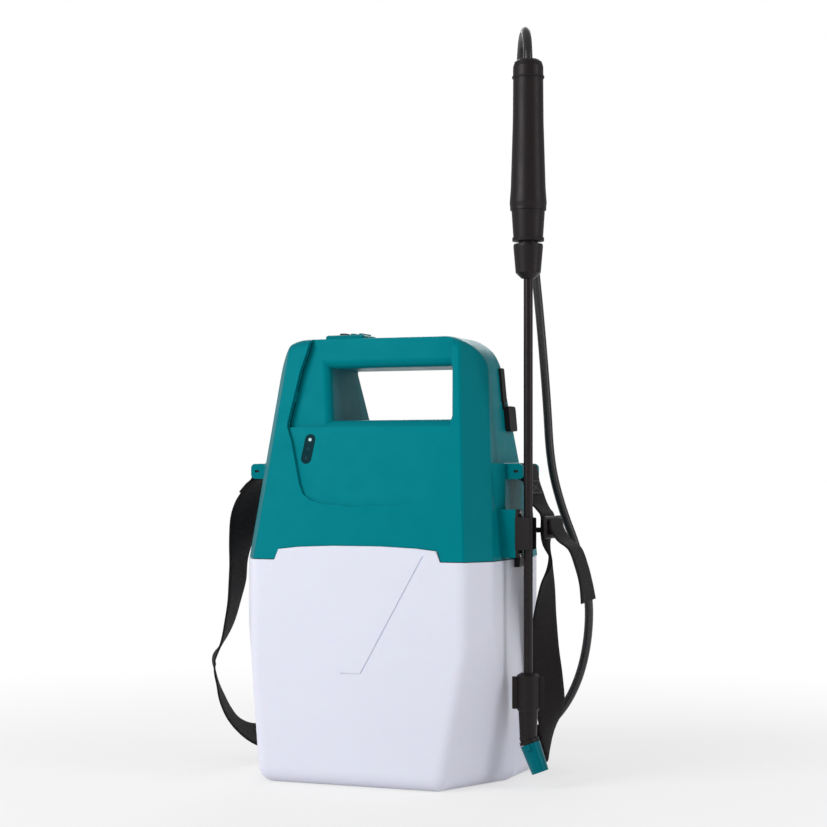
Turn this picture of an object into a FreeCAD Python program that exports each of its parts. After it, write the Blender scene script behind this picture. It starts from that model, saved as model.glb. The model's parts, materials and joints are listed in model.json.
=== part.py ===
import FreeCAD, Part
import math
import os
import re

import Sketcher

# Cordless garden sprayer: a five litre tank, a moulded head with a carry handle, a lance clipped
# upright on the right side, a hose and one webbing shoulder strap.
# Frame: +X is the object's right, +Y its back, +Z up. The origin is the middle of the tank's foot.
# Every size is in millimetres and lives once in the sheet below.

V = FreeCAD.Vector
doc = FreeCAD.newDocument("garden_sprayer")
sheet = doc.addObject("Spreadsheet::Sheet", "sizes")

SIZES = {
    # tank
    "tank_width": 235.0,
    "tank_depth": 164.0,
    "seam_height": 199.0,
    "tank_wall": 2.8,
    "corner_across": 17.0,
    "corner_along": 28.0,
    "rear_corner": 10.5,
    "tank_edge_round": 12.0,
    "tank_foot_round": 15.0,
    "right_scoop_top": 142.0,
    "right_scoop_front_top": 116.0,
    "right_scoop_run": 23.0,
    "left_scoop_top": 144.0,
    "left_scoop_front_top": 104.0,
    "left_scoop_run": 8.0,
    "crease_depth": 0.9,
    "arch_half_width": 74.5,
    "arch_end_rise": 9.5,
    "arch_rise": 13.0,
    "seam_gap": 0.7,
    "neck_radius": 34.0,
    "neck_x": -40.0,
    "neck_y": -28.0,
    # filler
    "filler_x": 38.0,
    "filler_y": 24.0,
    "filler_tilt": 45.0,
    "filler_radius": 27.0,
    "filler_wall": 2.4,
    "filler_reach": 66.0,
    "cap_radius": 33.0,
    "cap_depth": 19.0,
    # head
    "head_height": 397.0,
    "head_inset": 1.0,
    "head_wall": 2.6,
    "side_setback": 18.7,
    "front_setback": 39.6,
    "back_setback": 63.0,
    "crown_round": 36.0,
    "edge_round": 9.0,
    "opening_left": -43.5,
    "opening_right": 79.5,
    "opening_low": 323.0,
    "opening_lean": 3.3,
    "handle_thickness": 27.0,
    "opening_round": 3.0,
    "rim_round": 3.5,
    "handle_recess": 4.0,
    "handle_round": 7.0,
    "upright_round": 3.0,
    "panel_recess": 3.4,
    "parting_low": 57.0,
    "parting_top": 2.0,
    "parting_gap": 0.3,
    "block_top": 285.0,
    "block_front": 22.0,
    "deck_thickness": 4.0,
    # strap anchors
    "anchor_height": 277.4,
    "anchor_y": 5.3,
    "anchor_out": 8.8,
    "ear_reach": 15.0,
    "ear_height": 13.8,
    "ear_thickness": 3.8,
    "bar_radius": 5.0,
    "strap_width": 38.0,
    "strap_thickness": 1.8,
    # lance
    "lance_x": 139.4,
    "lance_y": -24.0,
    "tube_radius": 4.0,
    "tube_wall": 1.0,
    "tube_low": 80.0,
    "tube_top": 458.0,
    "grip_low": 508.0,
    "grip_top": 621.0,
    "grip_low_radius": 15.8,
    "grip_top_radius": 13.2,
    "cap_top": 637.0,
    "handle_turn": 22.0,
    "nozzle_low": 68.0,
    "nozzle_radius": 10.0,
    "wing_span": 28.0,
    "nozzle_tilt": 21.0,
    "hose_radius": 4.0,
    "running_gap": 0.3,
    # works inside the head
    "motor_radius": 18.0,
    "motor_length": 50.0,
    "pump_size": 42.0,
    "cell_radius": 9.0,
    "cell_length": 65.0,
    "cell_pitch": 19.0,
    "screw_radius": 1.8,
}

for row, (alias, amount) in enumerate(SIZES.items(), start=1):
    sheet.set(f"A{row}", alias)
    sheet.set(f"B{row}", str(amount))
    sheet.setAlias(f"B{row}", alias)
doc.recompute()

NAME_WITH_UNDERSCORE = re.compile(r"\b([a-z]+(?:_[a-z0-9]+)+)\b")


def formula(text):
    """Turn 'tank_width / 2' into an expression that reads the sheet."""
    return NAME_WITH_UNDERSCORE.sub(r"sizes.\1", f"{text}")


def size(text):
    """The present value of a formula."""
    return float(sheet.evalExpression(formula(text)))


def bind(item, **formulas):
    for prop, text in formulas.items():
        item.setExpression(prop, formula(text))
    return item


def seat(item, x=0, y=0, z=0, axis=None, angle=0):
    """Place an item by formulas, turned by a formula's angle about an axis."""
    if axis is not None:
        item.Placement = FreeCAD.Placement(V(), FreeCAD.Rotation(V(*axis), size(angle)))
    for direction, text in zip("xyz", (x, y, z)):
        item.setExpression(f"Placement.Base.{direction}", formula(text))
    return item


def box(label, x, y, z):
    """A block between pairs of formulas along X, Y and Z."""
    item = doc.addObject("Part::Box", label)
    bind(item, Length=f"({x[1]}) - ({x[0]})", Width=f"({y[1]}) - ({y[0]})", Height=f"({z[1]}) - ({z[0]})")
    return seat(item, x[0], y[0], z[0])


TURN_TO = {"x": ((0, 1, 0), 90), "y": ((-1, 0, 0), 90), "z": (None, 0)}


def rod(label, radius, length, start, along="z"):
    """A cylinder from a start point along +X, +Y or +Z."""
    item = doc.addObject("Part::Cylinder", label)
    bind(item, Radius=radius, Height=length)
    axis, angle = TURN_TO[along]
    return seat(item, *start, axis, angle)


def cone(label, low_radius, top_radius, length, start):
    item = doc.addObject("Part::Cone", label)
    bind(item, Radius1=low_radius, Radius2=top_radius, Height=length)
    return seat(item, *start)


def cut(label, base, *tools):
    tool = tools[0] if len(tools) == 1 else fuse(f"{label}_tools", *tools)
    item = doc.addObject("Part::Cut", label)
    item.Base = base
    item.Tool = tool
    return item


def fuse(label, *shapes):
    item = doc.addObject("Part::MultiFuse", label)
    item.Shapes = list(shapes)
    return item


def common(label, *shapes):
    item = doc.addObject("Part::MultiCommon", label)
    item.Shapes = list(shapes)
    return item


def group(label, *shapes):
    """Several separate solids that share one node."""
    item = doc.addObject("Part::Compound", label)
    item.Links = list(shapes)
    return item


def soften(label, base, radius, wanted):
    """Round the edges of a base that a test picks."""
    doc.recompute()
    item = doc.addObject("Part::Fillet", label)
    item.Base = base
    amount = size(radius)
    item.Edges = [(n, amount, amount) for n, edge in enumerate(base.Shape.Edges, start=1) if wanted(edge)]
    return item


def feature(label, shape):
    """A shape that neither primitives nor sketches make, placed where it was drawn."""
    item = doc.addObject("Part::Feature", label)
    item.Shape = shape
    item.Placement = FreeCAD.Placement()
    return item


PLANES = {
    "XY": FreeCAD.Rotation(),
    "XZ": FreeCAD.Rotation(V(1, 0, 0), 90),
    "YZ": FreeCAD.Rotation(V(1, 1, 1), 120),
}


def outline(label, corners, plane="XY", offset=0):
    """A closed sketch whose corners are pairs of formulas."""
    sketch = doc.addObject("Sketcher::SketchObject", label)
    spots = [V(size(across), size(up), 0) for across, up in corners]
    count = len(spots)
    for n in range(count):
        sketch.addGeometry(Part.LineSegment(spots[n], spots[(n + 1) % count]), False)
    for n in range(count):
        sketch.addConstraint(Sketcher.Constraint("Coincident", n, 2, (n + 1) % count, 1))
    for n, (across, up) in enumerate(corners):
        for kind, text, amount, axis in (("DistanceX", across, spots[n].x, -2),
                                         ("DistanceY", up, spots[n].y, -1)):
            if abs(amount) < 1e-9:
                sketch.addConstraint(Sketcher.Constraint("PointOnObject", n, 1, axis))
            else:
                index = sketch.addConstraint(Sketcher.Constraint(kind, -1, 1, n, 1, amount))
                sketch.setExpression(f"Constraints[{index}]", formula(text))
    sketch.Placement = FreeCAD.Placement(V(), PLANES[plane])
    normal = {"XY": "z", "XZ": "y", "YZ": "x"}[plane]
    sketch.setExpression(f"Placement.Base.{normal}", formula(offset))
    return sketch


def pull(label, sketch, direction, length):
    item = doc.addObject("Part::Extrusion", label)
    item.Base = sketch
    item.DirMode = "Custom"
    item.Dir = V(*direction)
    item.Solid = True
    return bind(item, LengthFwd=length)


def loft(label, *sketches):
    item = doc.addObject("Part::Loft", label)
    item.Sections = list(sketches)
    item.Solid = True
    item.Ruled = True
    return item


def turned(label, profile, x="lance_x", y="lance_y"):
    """A round piece about a vertical axis from (radius, height) formulas."""
    sketch = outline(f"{label}_profile", profile, "XZ")
    item = doc.addObject("Part::Revolution", label)
    item.Source = sketch
    item.Axis = V(0, 0, 1)
    item.Solid = True
    bind(item, Angle="360")
    return seat(item, x, y, 0)


def slab_behind(label, p1, p2, p3, reach=400.0):
    """A big block on the outer side of the plane through three points of formulas."""
    a, b, c = (V(*(size(text) for text in point)) for point in (p1, p2, p3))
    normal = (b - a).cross(c - a).normalize()
    item = doc.addObject("Part::Box", label)
    item.Length = item.Width = item.Height = reach
    turn = FreeCAD.Rotation(V(0, 0, 1), normal)
    corner = (a + b + c) / 3 - turn.multVec(V(reach / 2, reach / 2, 0))
    item.Placement = FreeCAD.Placement(corner, turn)
    return item


def plan(label, height, half, front, back, across, along, rear, inset=0):
    """The eight-sided plan shared by the tank and the head, drawn at a height."""
    half, front, back = f"({half} - ({inset}))", f"({front} - ({inset}))", f"({back} - ({inset}))"
    side_corner = f"({half} - {across} + 0.35 * ({inset}))"
    side_start = f"({front} - {along} + 0.7 * ({inset}))"
    rear_side = f"({half} - {rear} + 0.4 * ({inset}))"
    rear_start = f"({back} - {rear} + 0.4 * ({inset}))"
    corners = [
        (f"-{side_corner}", f"-{front}"),
        (side_corner, f"-{front}"),
        (half, f"-{side_start}"),
        (half, rear_start),
        (rear_side, back),
        (f"-{rear_side}", back),
        (f"-{half}", rear_start),
        (f"-{half}", f"-{side_start}"),
    ]
    return outline(label, corners, "XY", height)


# ---------------------------------------------------------------- tank
TANK_PLAN = ("tank_width / 2", "tank_depth / 2", "tank_depth / 2", "corner_across", "corner_along",
             "rear_corner")


def tank_block(label, low, top, inset):
    """The tank's outer or inner form: eight-sided, with a slanting scoop in each lower front corner.

    The left scoop is the slighter one.
    """
    block = pull(f"{label}_block", plan(f"{label}_plan", low, *TANK_PLAN, inset), (0, 0, 1),
                 f"({top}) - ({low})")
    slabs = []
    for side, sign in (("right", ""), ("left", "-")):
        edge_x = f"{sign}(tank_width / 2 - ({inset}))"
        front_x = f"{sign}(tank_width / 2 - corner_across - ({inset}))"
        foot_x = f"{sign}(tank_width / 2 - corner_across - {side}_scoop_run - ({inset}))"
        points = [
            (edge_x, f"-(tank_depth / 2 - corner_along - ({inset}))", f"{side}_scoop_top"),
            (front_x, f"-(tank_depth / 2 - ({inset}))", f"{side}_scoop_front_top"),
            (foot_x, f"-(tank_depth / 2 - ({inset}))", "0"),
        ]
        if side == "left":
            points.reverse()
        slabs.append(slab_behind(f"{label}_scoop_{side}", *points))
    return cut(f"{label}_scooped", block, *slabs)


def tall(edge):
    """True for an edge that climbs more than 20 mm."""
    ends = [vertex.Point for vertex in edge.Vertexes]
    return len(ends) == 2 and abs(ends[0].z - ends[1].z) > 20


def tank_form(label, low, top, inset):
    """The scooped block with its foot and then its upright edges rounded."""
    sharp = tank_block(label, low, top, inset)
    foot = size(low)
    footed = soften(f"{label}_footed", sharp, f"tank_foot_round - ({inset})",
                    lambda edge: all(abs(vertex.Point.z - foot) < 0.01 for vertex in edge.Vertexes))
    return soften(label, footed, f"tank_edge_round - ({inset})", tall)


tank_outer = tank_form("tank_outer", "0", "seam_height", "0")
tank_inner = tank_form("tank_inner", "tank_wall", "seam_height - tank_wall", "tank_wall")


def arch_outline(label, grow, offset):
    """The low arch of the tank's front wall, or the notch for it in the head, grown by a gap."""
    end_z, shoulder_z, crown_z = (f"seam_height + {rise} + ({grow})" for rise in
                                  ("arch_end_rise", "arch_end_rise * 0.4 + arch_rise * 0.6", "arch_rise"))
    half = f"(arch_half_width + ({grow}))"
    right = [
        (f"{half} + 4", "seam_height - tank_wall"),
        (f"{half} + 4", f"seam_height + ({grow})"),
        (half, end_z),
        (f"{half} * 0.75", shoulder_z),
        (f"{half} * 0.3", crown_z),
    ]
    left = [(f"-({across})", up) for across, up in reversed(right)]
    return outline(label, right + left, "XZ", offset)


arch = pull("tank_arch", arch_outline("arch_outline", "0", "-tank_depth / 2"), (0, 1, 0), "tank_wall")


def filler_rod(label, radius, start, length):
    """A cylinder on the filler's axis, which leans back, from a distance along it."""
    item = doc.addObject("Part::Cylinder", label)
    bind(item, Radius=radius, Height=length)
    item.Placement = FreeCAD.Placement(V(), FreeCAD.Rotation(V(-1, 0, 0), size("filler_tilt")))
    lean_y = f"filler_y + ({start}) * sin(filler_tilt * 1deg)"
    lean_z = f"seam_height + ({start}) * cos(filler_tilt * 1deg)"
    return seat(item, "filler_x", lean_y, lean_z)


filler_outside = filler_rod("filler_outside", "filler_radius", "-30", "filler_reach + 30")
filler_bore = filler_rod("filler_bore", "filler_radius - filler_wall", "-60", "filler_reach + 90")
above_tank = box("above_tank", ("-200", "200"), ("-200", "200"),
                 ("seam_height - tank_wall", "seam_height + 200"))
filler_neck = common("filler_neck", filler_outside, above_tank)
POSTS = [(sx, sy) for sx in ("-1", "1") for sy in ("-1", "1")]
deck_posts = [
    rod(f"deck_post_{n}", "screw_radius + 3", "14",
        (f"{sx} * (tank_width / 2 - 16)", f"{sy} * (tank_depth / 2 - 38) - 4", "seam_height - 14"))
    for n, (sx, sy) in enumerate(POSTS)
]
neck_hole = rod("neck_hole", "neck_radius", "20", ("neck_x", "neck_y", "seam_height - 10"))
post_holes = [
    rod(f"post_hole_{n}", "screw_radius", "13",
        (f"{sx} * (tank_width / 2 - 16)", f"{sy} * (tank_depth / 2 - 38) - 4", "seam_height - 12"))
    for n, (sx, sy) in enumerate(POSTS)
]
crease = pull("front_crease", outline("crease_outline", [
    ("62", "seam_height + 5"),
    ("4", "seam_height - 98"),
    ("-14", "seam_height - 98"),
    ("-14", "seam_height - 99.4"),
    ("5", "seam_height - 99.4"),
    ("64.5", "seam_height + 5"),
], "XZ", "-tank_depth / 2 - 1"), (0, 1, 0), "crease_depth + 1")
tank_hollow = cut("tank_hollow", tank_outer, tank_inner)
tank_whole = fuse("tank_whole", tank_hollow, arch, filler_neck, *deck_posts)
tank = cut("tank", tank_whole, filler_bore, neck_hole, crease, *post_holes)

# ---------------------------------------------------------------- head
HEAD_LOW = ("tank_width / 2 - head_inset + 0.5", "tank_depth / 2 - head_inset", "tank_depth / 2",
            "corner_across", "corner_along", "rear_corner")
HEAD_TOP = ("tank_width / 2 - side_setback - head_inset + 0.5", "tank_depth / 2 - head_inset - front_setback",
            "tank_depth / 2 - back_setback", "corner_across", "corner_along", "rear_corner")
HEAD_FOOT = "seam_height + seam_gap"


def head_form(label, inset, foot):
    """The head's outer or inner form: it narrows upwards on every side and its shoulders are round."""
    lower = plan(f"{label}_low", foot, *HEAD_LOW, inset)
    upper = plan(f"{label}_top", "head_height", *HEAD_TOP, inset)
    tapered = loft(f"{label}_tapered", lower, upper)
    crown_low = f"(tank_width / 2 - ({inset}))"
    crown_top = f"(tank_width / 2 - side_setback - head_inset + 0.5 - ({inset}))"
    crown = pull(f"{label}_crown_block", outline(f"{label}_crown", [
        (f"-{crown_low}", "seam_height - 5"),
        (crown_low, "seam_height - 5"),
        (crown_top, f"head_height - ({inset})"),
        (f"-{crown_top}", f"head_height - ({inset})"),
    ], "XZ", "-tank_depth"), (0, 1, 0), "tank_depth * 2")
    top = size(f"head_height - ({inset})")

    def is_shoulder(edge):
        ends = [vertex.Point for vertex in edge.Vertexes]
        return all(abs(end.z - top) < 0.01 for end in ends) and abs(ends[0].x - ends[1].x) < 0.01

    crown_rounded = soften(f"{label}_crown_rounded", crown, f"crown_round - ({inset})", is_shoulder)
    return common(label, tapered, crown_rounded)


def near_opening(point):
    """True for a point between the opening's four walls, or on them."""
    across = size("opening_left") - 1 < point.x < size("opening_right") + 1
    return across and size("opening_low") - 1 < point.z < size(OPENING_TOP) + 1


def head_edge_kind(edge):
    """Names the edges of the head that are rounded: its crown, the rim of its opening and its uprights."""
    first, last = edge.Vertexes[0].Point, edge.Vertexes[-1].Point
    middle = (first + last) / 2
    shoulder = size("tank_width / 2 - side_setback - crown_round - head_inset") - 1
    if near_opening(middle) and abs(first.y - last.y) < 20:
        return "rim"
    if middle.z > size("head_height - crown_round") and abs(first.x - last.x) > 0.01 and (
            min(abs(first.x), abs(last.x)) > shoulder or abs(first.z - last.z) < 0.01 and abs(middle.x) < 1):
        return "crown"
    if abs(first.z - last.z) > 100:
        return "upright"
    return None


def soften_head(label, base, radii):
    doc.recompute()
    item = doc.addObject("Part::Fillet", label)
    item.Base = base
    kinds = [(n, head_edge_kind(edge)) for n, edge in enumerate(base.Shape.Edges, start=1)]
    item.Edges = [(n, size(radii[kind]), size(radii[kind])) for n, kind in kinds if kind in radii]
    return item


OPENING_TOP = "head_height - handle_thickness"
head_outer_sharp = head_form("head_outer", "0", HEAD_FOOT)
OPENING = [
    ("opening_left + 2 * opening_lean", "opening_low"),
    ("opening_right", "opening_low"),
    ("opening_right - opening_lean", OPENING_TOP),
    ("opening_left", OPENING_TOP),
]
tunnel_block = pull("tunnel_block", outline("opening_outline", OPENING, "XZ", "-tank_depth"), (0, 1, 0),
                    "tank_depth * 2")
tunnel = soften("tunnel", tunnel_block, "opening_round",
                lambda edge: abs(edge.Vertexes[0].Point.y - edge.Vertexes[1].Point.y) > 1)
head_open = cut("head_open", head_outer_sharp, tunnel)
head_rimmed = soften_head("head_rimmed", head_open, {"rim": "rim_round"})
head_skin = soften_head("head_skin", head_rimmed, {"crown": "edge_round", "upright": "upright_round"})
head_core_sharp = head_form("head_core", "head_wall", "seam_height - 5")
head_core = soften_head("head_core_round", head_core_sharp, {"crown": "edge_round - head_wall"})
tunnel_wall = box("tunnel_wall", ("opening_left - head_wall", "opening_right + head_wall"),
                  ("-tank_depth", "tank_depth"), ("opening_low - head_wall", f"{OPENING_TOP} + head_wall"))


def head_rise(at_height):
    """How far up the head a height is, from 0 at its foot to 1 at its top."""
    return f"((({at_height}) - seam_height - seam_gap) / (head_height - seam_height - seam_gap))"


def front_y(at_height):
    return f"(head_inset - tank_depth / 2 + front_setback * {head_rise(at_height)})"


def back_y(at_height):
    return f"(tank_depth / 2 - back_setback * {head_rise(at_height)})"


def side_x(at_height):
    return f"(tank_width / 2 - head_inset + 0.5 - side_setback * {head_rise(at_height)})"


def parting_y(at_height):
    return f"(parting_low - (parting_low - parting_top) * {head_rise(at_height)})"


FRONT_LEAN = math.degrees(math.atan(size("front_setback / (head_height - seam_height - seam_gap)")))
SIDE_LEAN = math.degrees(math.atan(size("side_setback / (head_height - seam_height - seam_gap)")))

# The recessed panel takes in the handle, the left post and the field below the opening. Its floor
# is turned a little, so that its edge is a step on the left and runs out flush on the right.
PANEL = [
    ("-60.5", "head_height + 8"),
    ("-64.5", "head_height - 12"),
    ("-69.5", "head_height - 29"),
    ("-77.5", "opening_low - 1"),
    ("-77.5", "opening_low - 6"),
    ("-72.5", "opening_low - 18"),
    ("-61", "opening_low - 57"),
    ("-56.5", "opening_low - 66"),
    ("-48.5", "opening_low - 71"),
    ("-38.5", "opening_low - 74"),
    ("-7.5", "opening_low - 77"),
    ("37.5", "opening_low - 75"),
    ("63.5", "opening_low - 69"),
    ("68.5", "opening_low - 31"),
    ("opening_right", "opening_low - 6"),
    ("opening_right", "head_height + 8"),
]


def panel_slab(label, depth):
    """All the space in front of the panel's floor, at a depth behind the front face."""
    low, high = "opening_low - 77", "head_height"
    return slab_behind(label,
                       ("opening_right", f"{front_y(low)} + ({depth})", low),
                       ("opening_right", f"{front_y(high)} + ({depth})", high),
                       ("-77.5", f"{front_y(low)} + panel_recess + ({depth})", low))


def panel_prism(label, depth):
    """The space in front of the panel's floor, inside its outline, at a depth behind the front face."""
    slab = panel_slab(f"{label}_slab", depth)
    field = pull(f"{label}_field", outline(f"{label}_outline", PANEL, "XZ", "-tank_depth"), (0, 1, 0),
                 "tank_depth * 2")
    return common(label, slab, field)


panel_cut = panel_prism("panel_cut", "0")
panel_backing = panel_prism("panel_backing", "head_wall")

# The handle and the left post stand further back, and their edges round the opening are soft.
HANDLE_FIELD = [
    ("-77.3", "opening_low - 6"),
    ("opening_right - 0.2", "opening_low - 6"),
    ("opening_right - opening_lean - 2", "head_height + 8"),
    ("-60.3", "head_height + 8"),
    ("-64.3", "head_height - 12"),
    ("-69.3", "head_height - 29"),
    ("-77.3", "opening_low - 1"),
]


def on_handle_floor(point):
    """True for a point on the floor of the handle's recess."""
    across = handle_floor.Placement.Rotation.multVec(V(0, 0, 1))
    return abs(across.dot(point - handle_floor.Placement.Base)) < 0.01


def is_handle_rim(edge):
    """An edge of the opening on the floor of the handle's recess."""
    first, last = edge.Vertexes[0].Point, edge.Vertexes[-1].Point
    middle = (first + last) / 2
    on_floor = on_handle_floor(first) and on_handle_floor(last)
    return on_floor and near_opening(middle) and middle.x < size("opening_right") - 4


handle_field = pull("handle_field", outline("handle_outline", HANDLE_FIELD, "XZ", "-tank_depth"),
                    (0, 1, 0), "tank_depth * 2")
handle_floor = panel_slab("handle_floor", "handle_recess")
handle_space = fuse("handle_space", common("handle_front", handle_floor, handle_field), tunnel_block)
handle_cut = soften("handle_cut", handle_space, "handle_round", is_handle_rim)
handle_backing = common("handle_backing", panel_slab("handle_backing_slab", "handle_recess + head_wall"),
                        handle_field)
handle_corner = box("handle_corner", ("opening_left - 8", "opening_right + 2"),
                    ("-tank_depth", "-tank_depth / 2 + 50"),
                    ("opening_low - 10", f"{OPENING_TOP} + 8"))
head_cavity = cut("head_cavity", head_core, tunnel_wall, panel_backing, handle_backing, handle_corner)
head_hollow = cut("head_hollow", head_skin, head_cavity, panel_cut, handle_cut)

# Side blocks carry the strap bars and the lance clip. Their outer faces stand upright, flush with
# the tank, their fronts run back from the head's corners, and their backs lean with the head.
SIDES = (("right", ""), ("left", "-"))


def side_span(sign, near, far):
    """A pair of formulas for a span of X on the right, mirrored for the left."""
    return (near, far) if sign == "" else (f"-({far})", f"-({near})")


block_rear_trim = slab_behind(
    "block_rear_trim",
    ("0", f"{back_y(HEAD_FOOT)} - rear_corner - 1", HEAD_FOOT),
    ("0", f"{back_y('head_height')} - rear_corner - 1", "head_height"),
    ("50", f"{back_y(HEAD_FOOT)} - rear_corner - 1", HEAD_FOOT))
side_blocks = []
for side, sign in SIDES:
    edge = f"{sign}(tank_width / 2)"
    inner = f"{sign}(tank_width / 2 - 14)"
    plan_corners = [
        (inner, "-block_front - 23"),
        (edge, "-block_front"),
        (edge, "tank_depth / 2"),
        (inner, "tank_depth / 2"),
    ]
    raw = pull(f"block_{side}_raw", outline(f"block_{side}_plan", plan_corners, "XY", HEAD_FOOT),
               (0, 0, 1), "block_top - seam_height - seam_gap")
    trimmed = cut(f"block_{side}_trimmed", raw, block_rear_trim)
    top = size("block_top")
    side_blocks.append(soften(
        f"block_{side}", trimmed, "2",
        lambda edge: all(abs(vertex.Point.z - top) < 0.01 for vertex in edge.Vertexes)
        and edge.Length > 5
        and max(abs(vertex.Point.x) for vertex in edge.Vertexes) > size("tank_width / 2 - 1")
        and abs(edge.Vertexes[0].Point.y - edge.Vertexes[1].Point.y) > 20))

block_clip = cut("block_clip", fuse("block_pair", *side_blocks), head_cavity)

# Screw posts run from the front wall to the back wall, and the parting face halves them.
SCREWS = [
    ("-(tank_width / 2 - 13)", "seam_height + 29"),
    ("tank_width / 2 - 13", "seam_height + 29"),
    ("opening_left - 32", "opening_low + 22"),
    ("opening_right + 12", "opening_low + 22"),
]
screw_posts = [
    rod(f"screw_post_{n}", "screw_radius + 3.2", "tank_depth", (x, "-tank_depth / 2", z), "y")
    for n, (x, z) in enumerate(SCREWS)
]
outlet_boss = rod("outlet_boss", "12", "14", ("-70", "tank_depth / 2 - 16", "seam_height + 27"), "y")
WELL_RADIUS = "cap_radius + 1.2"
filler_well = common("filler_well",
                     filler_rod("filler_well_rod", f"{WELL_RADIUS} + 2", "filler_reach - 23", "60"),
                     head_skin)
inner_ribs = cut("inner_ribs", common("inner_ribs_trimmed", fuse("inner_rib_set", *screw_posts), head_skin),
                 panel_cut, handle_cut)

# Two ears on each side hold a bar for the strap. Each ear has a small slot over the bar's end.
BAR_X = "(tank_width / 2 + anchor_out)"
BAR_SINK = "2"
EAR_NEAR = "anchor_y - strap_width / 2 - 1"
EAR_FAR = "anchor_y + strap_width / 2 + 1"
ears_on_head = []
bar_seats = []
anchor_bars = []
for side, sign in SIDES:
    for place, (near, far) in (("front", (f"{EAR_NEAR} - ear_thickness", EAR_NEAR)),
                               ("rear", (EAR_FAR, f"{EAR_FAR} + ear_thickness"))):
        ear_block = box(f"ear_block_{side}_{place}",
                        side_span(sign, "tank_width / 2 - 6", "tank_width / 2 + ear_reach"),
                        (near, far), ("anchor_height - ear_height / 2", "anchor_height + ear_height / 2"))
        ears_on_head.append(soften(
            f"ear_{side}_{place}", ear_block, "4",
            lambda edge: abs(edge.Vertexes[0].Point.y - edge.Vertexes[1].Point.y) > 1
            and abs(edge.Vertexes[0].Point.x) > size("tank_width / 2 + 1")))
        bar_seats.append(box(f"ear_slot_{side}_{place}", (f"{sign}{BAR_X} - 2.2", f"{sign}{BAR_X} + 2.2"),
                             (f"({near}) - 1", f"({far}) + 1"),
                             ("anchor_height - 1.1", "anchor_height + 1.1")))
    bar_start = (f"{sign}{BAR_X}", f"{EAR_NEAR} - {BAR_SINK}", "anchor_height")
    bar_length = f"strap_width + 2 + 2 * {BAR_SINK}"
    bar_seats.append(rod(f"bar_seat_{side}", "bar_radius + 0.05", bar_length, bar_start, "y"))
    anchor_bars.append(rod(f"anchor_bar_{side}", "bar_radius", bar_length, bar_start, "y"))

# A boss on the right block carries the lance's clip.
CLIP_Z = ("seam_height + 10", "seam_height + 38")
CLIP_OUT = "(lance_x - 9.5)"
clip_boss = box("clip_boss", ("tank_width / 2 - 6", CLIP_OUT), ("lance_y - 7", "lance_y + 7"),
                (f"{CLIP_Z[0]} - 7", f"{CLIP_Z[1]} + 7"))

head_ribbed = fuse("head_ribbed", head_hollow, block_clip, inner_ribs, outlet_boss, clip_boss, *ears_on_head)

screw_drills = []
for n, (x, z) in enumerate(SCREWS):
    seat_y = f"{parting_y(z)} + 7"
    screw_drills.append(rod(f"screw_drill_{n}", "screw_radius + 0.1", "27", (x, f"{seat_y} - 26.5", z), "y"))
    screw_drills.append(rod(f"screw_bore_{n}", "screw_radius + 2.4", "tank_depth", (x, seat_y, z), "y"))
arch_notch = pull("arch_notch", arch_outline("arch_notch_outline", "seam_gap", "-tank_depth / 2 - 5"),
                  (0, 1, 0), "tank_wall + 5.8")
outlet_hole = rod("outlet_hole", "6.6", "40", ("-70", "tank_depth / 2 - 36", "seam_height + 27"), "y")
well_hole = filler_rod("well_hole", WELL_RADIUS, "filler_reach - 21", "120")
neck_clearance = filler_rod("neck_clearance", "filler_radius + 0.3", "0", "120")


def on_side(item, y, z, out=0):
    """Seat an item drawn with +X outwards on the leaning right face of the head."""
    item.Placement = FreeCAD.Placement(V(), FreeCAD.Rotation(V(0, 1, 0), -SIDE_LEAN))
    return seat(item, f"{side_x(z)} + ({out})", y, z)


def side_tilted(label, x, y, z, height, radius=None):
    """A block in the side face's own directions, measured from the face at a height."""
    item = doc.addObject("Part::Box", f"{label}_block")
    bind(item, Length=f"({x[1]}) - ({x[0]})", Width=f"({y[1]}) - ({y[0]})", Height=f"({z[1]}) - ({z[0]})")
    lean = math.radians(SIDE_LEAN)
    shift_x = f"({x[0]}) * {math.cos(lean):.6f} - ({z[0]}) * {math.sin(lean):.6f}"
    shift_z = f"({x[0]}) * {math.sin(lean):.6f} + ({z[0]}) * {math.cos(lean):.6f}"
    item.Placement = FreeCAD.Placement(V(), FreeCAD.Rotation(V(0, 1, 0), -SIDE_LEAN))
    seat(item, f"{side_x(height)} + {shift_x}", y[0], f"({height}) + {shift_z}")
    if radius is None:
        return item
    doc.recompute()
    rounded = doc.addObject("Part::Fillet", f"{label}_rounded")
    rounded.Base = item
    outward = item.Placement.Rotation.multVec(V(1, 0, 0))
    rounded.Edges = [
        (n, radius, radius) for n, edge in enumerate(item.Shape.Edges, start=1)
        if abs((edge.Vertexes[0].Point - edge.Vertexes[1].Point).normalize().dot(outward)) > 0.99
    ]
    return rounded


# Charging cover: a rubber strap fixed to the side, and a flap that hinges over the jack.
FLAP_TOP = "opening_low + 14"
FLAP_Y = "22"
JACK_Z = f"{FLAP_TOP} - 14"
jack_hole = on_side(bind(doc.addObject("Part::Cylinder", "jack_hole"), Radius="7.5", Height="40"), FLAP_Y,
                    JACK_Z)
jack_hole.Placement = FreeCAD.Placement(V(), FreeCAD.Rotation(V(0, 1, 0), 90 - SIDE_LEAN))
seat(jack_hole, f"{side_x(JACK_Z)} - 20", FLAP_Y,
     f"({JACK_Z}) - 20 * {math.tan(math.radians(SIDE_LEAN)):.6f}")

# Gauge: a dark window, slanted in the panel, with three lights behind it.
GAUGE_X = "-56"
GAUGE_Z = "opening_low - 25"


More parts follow.
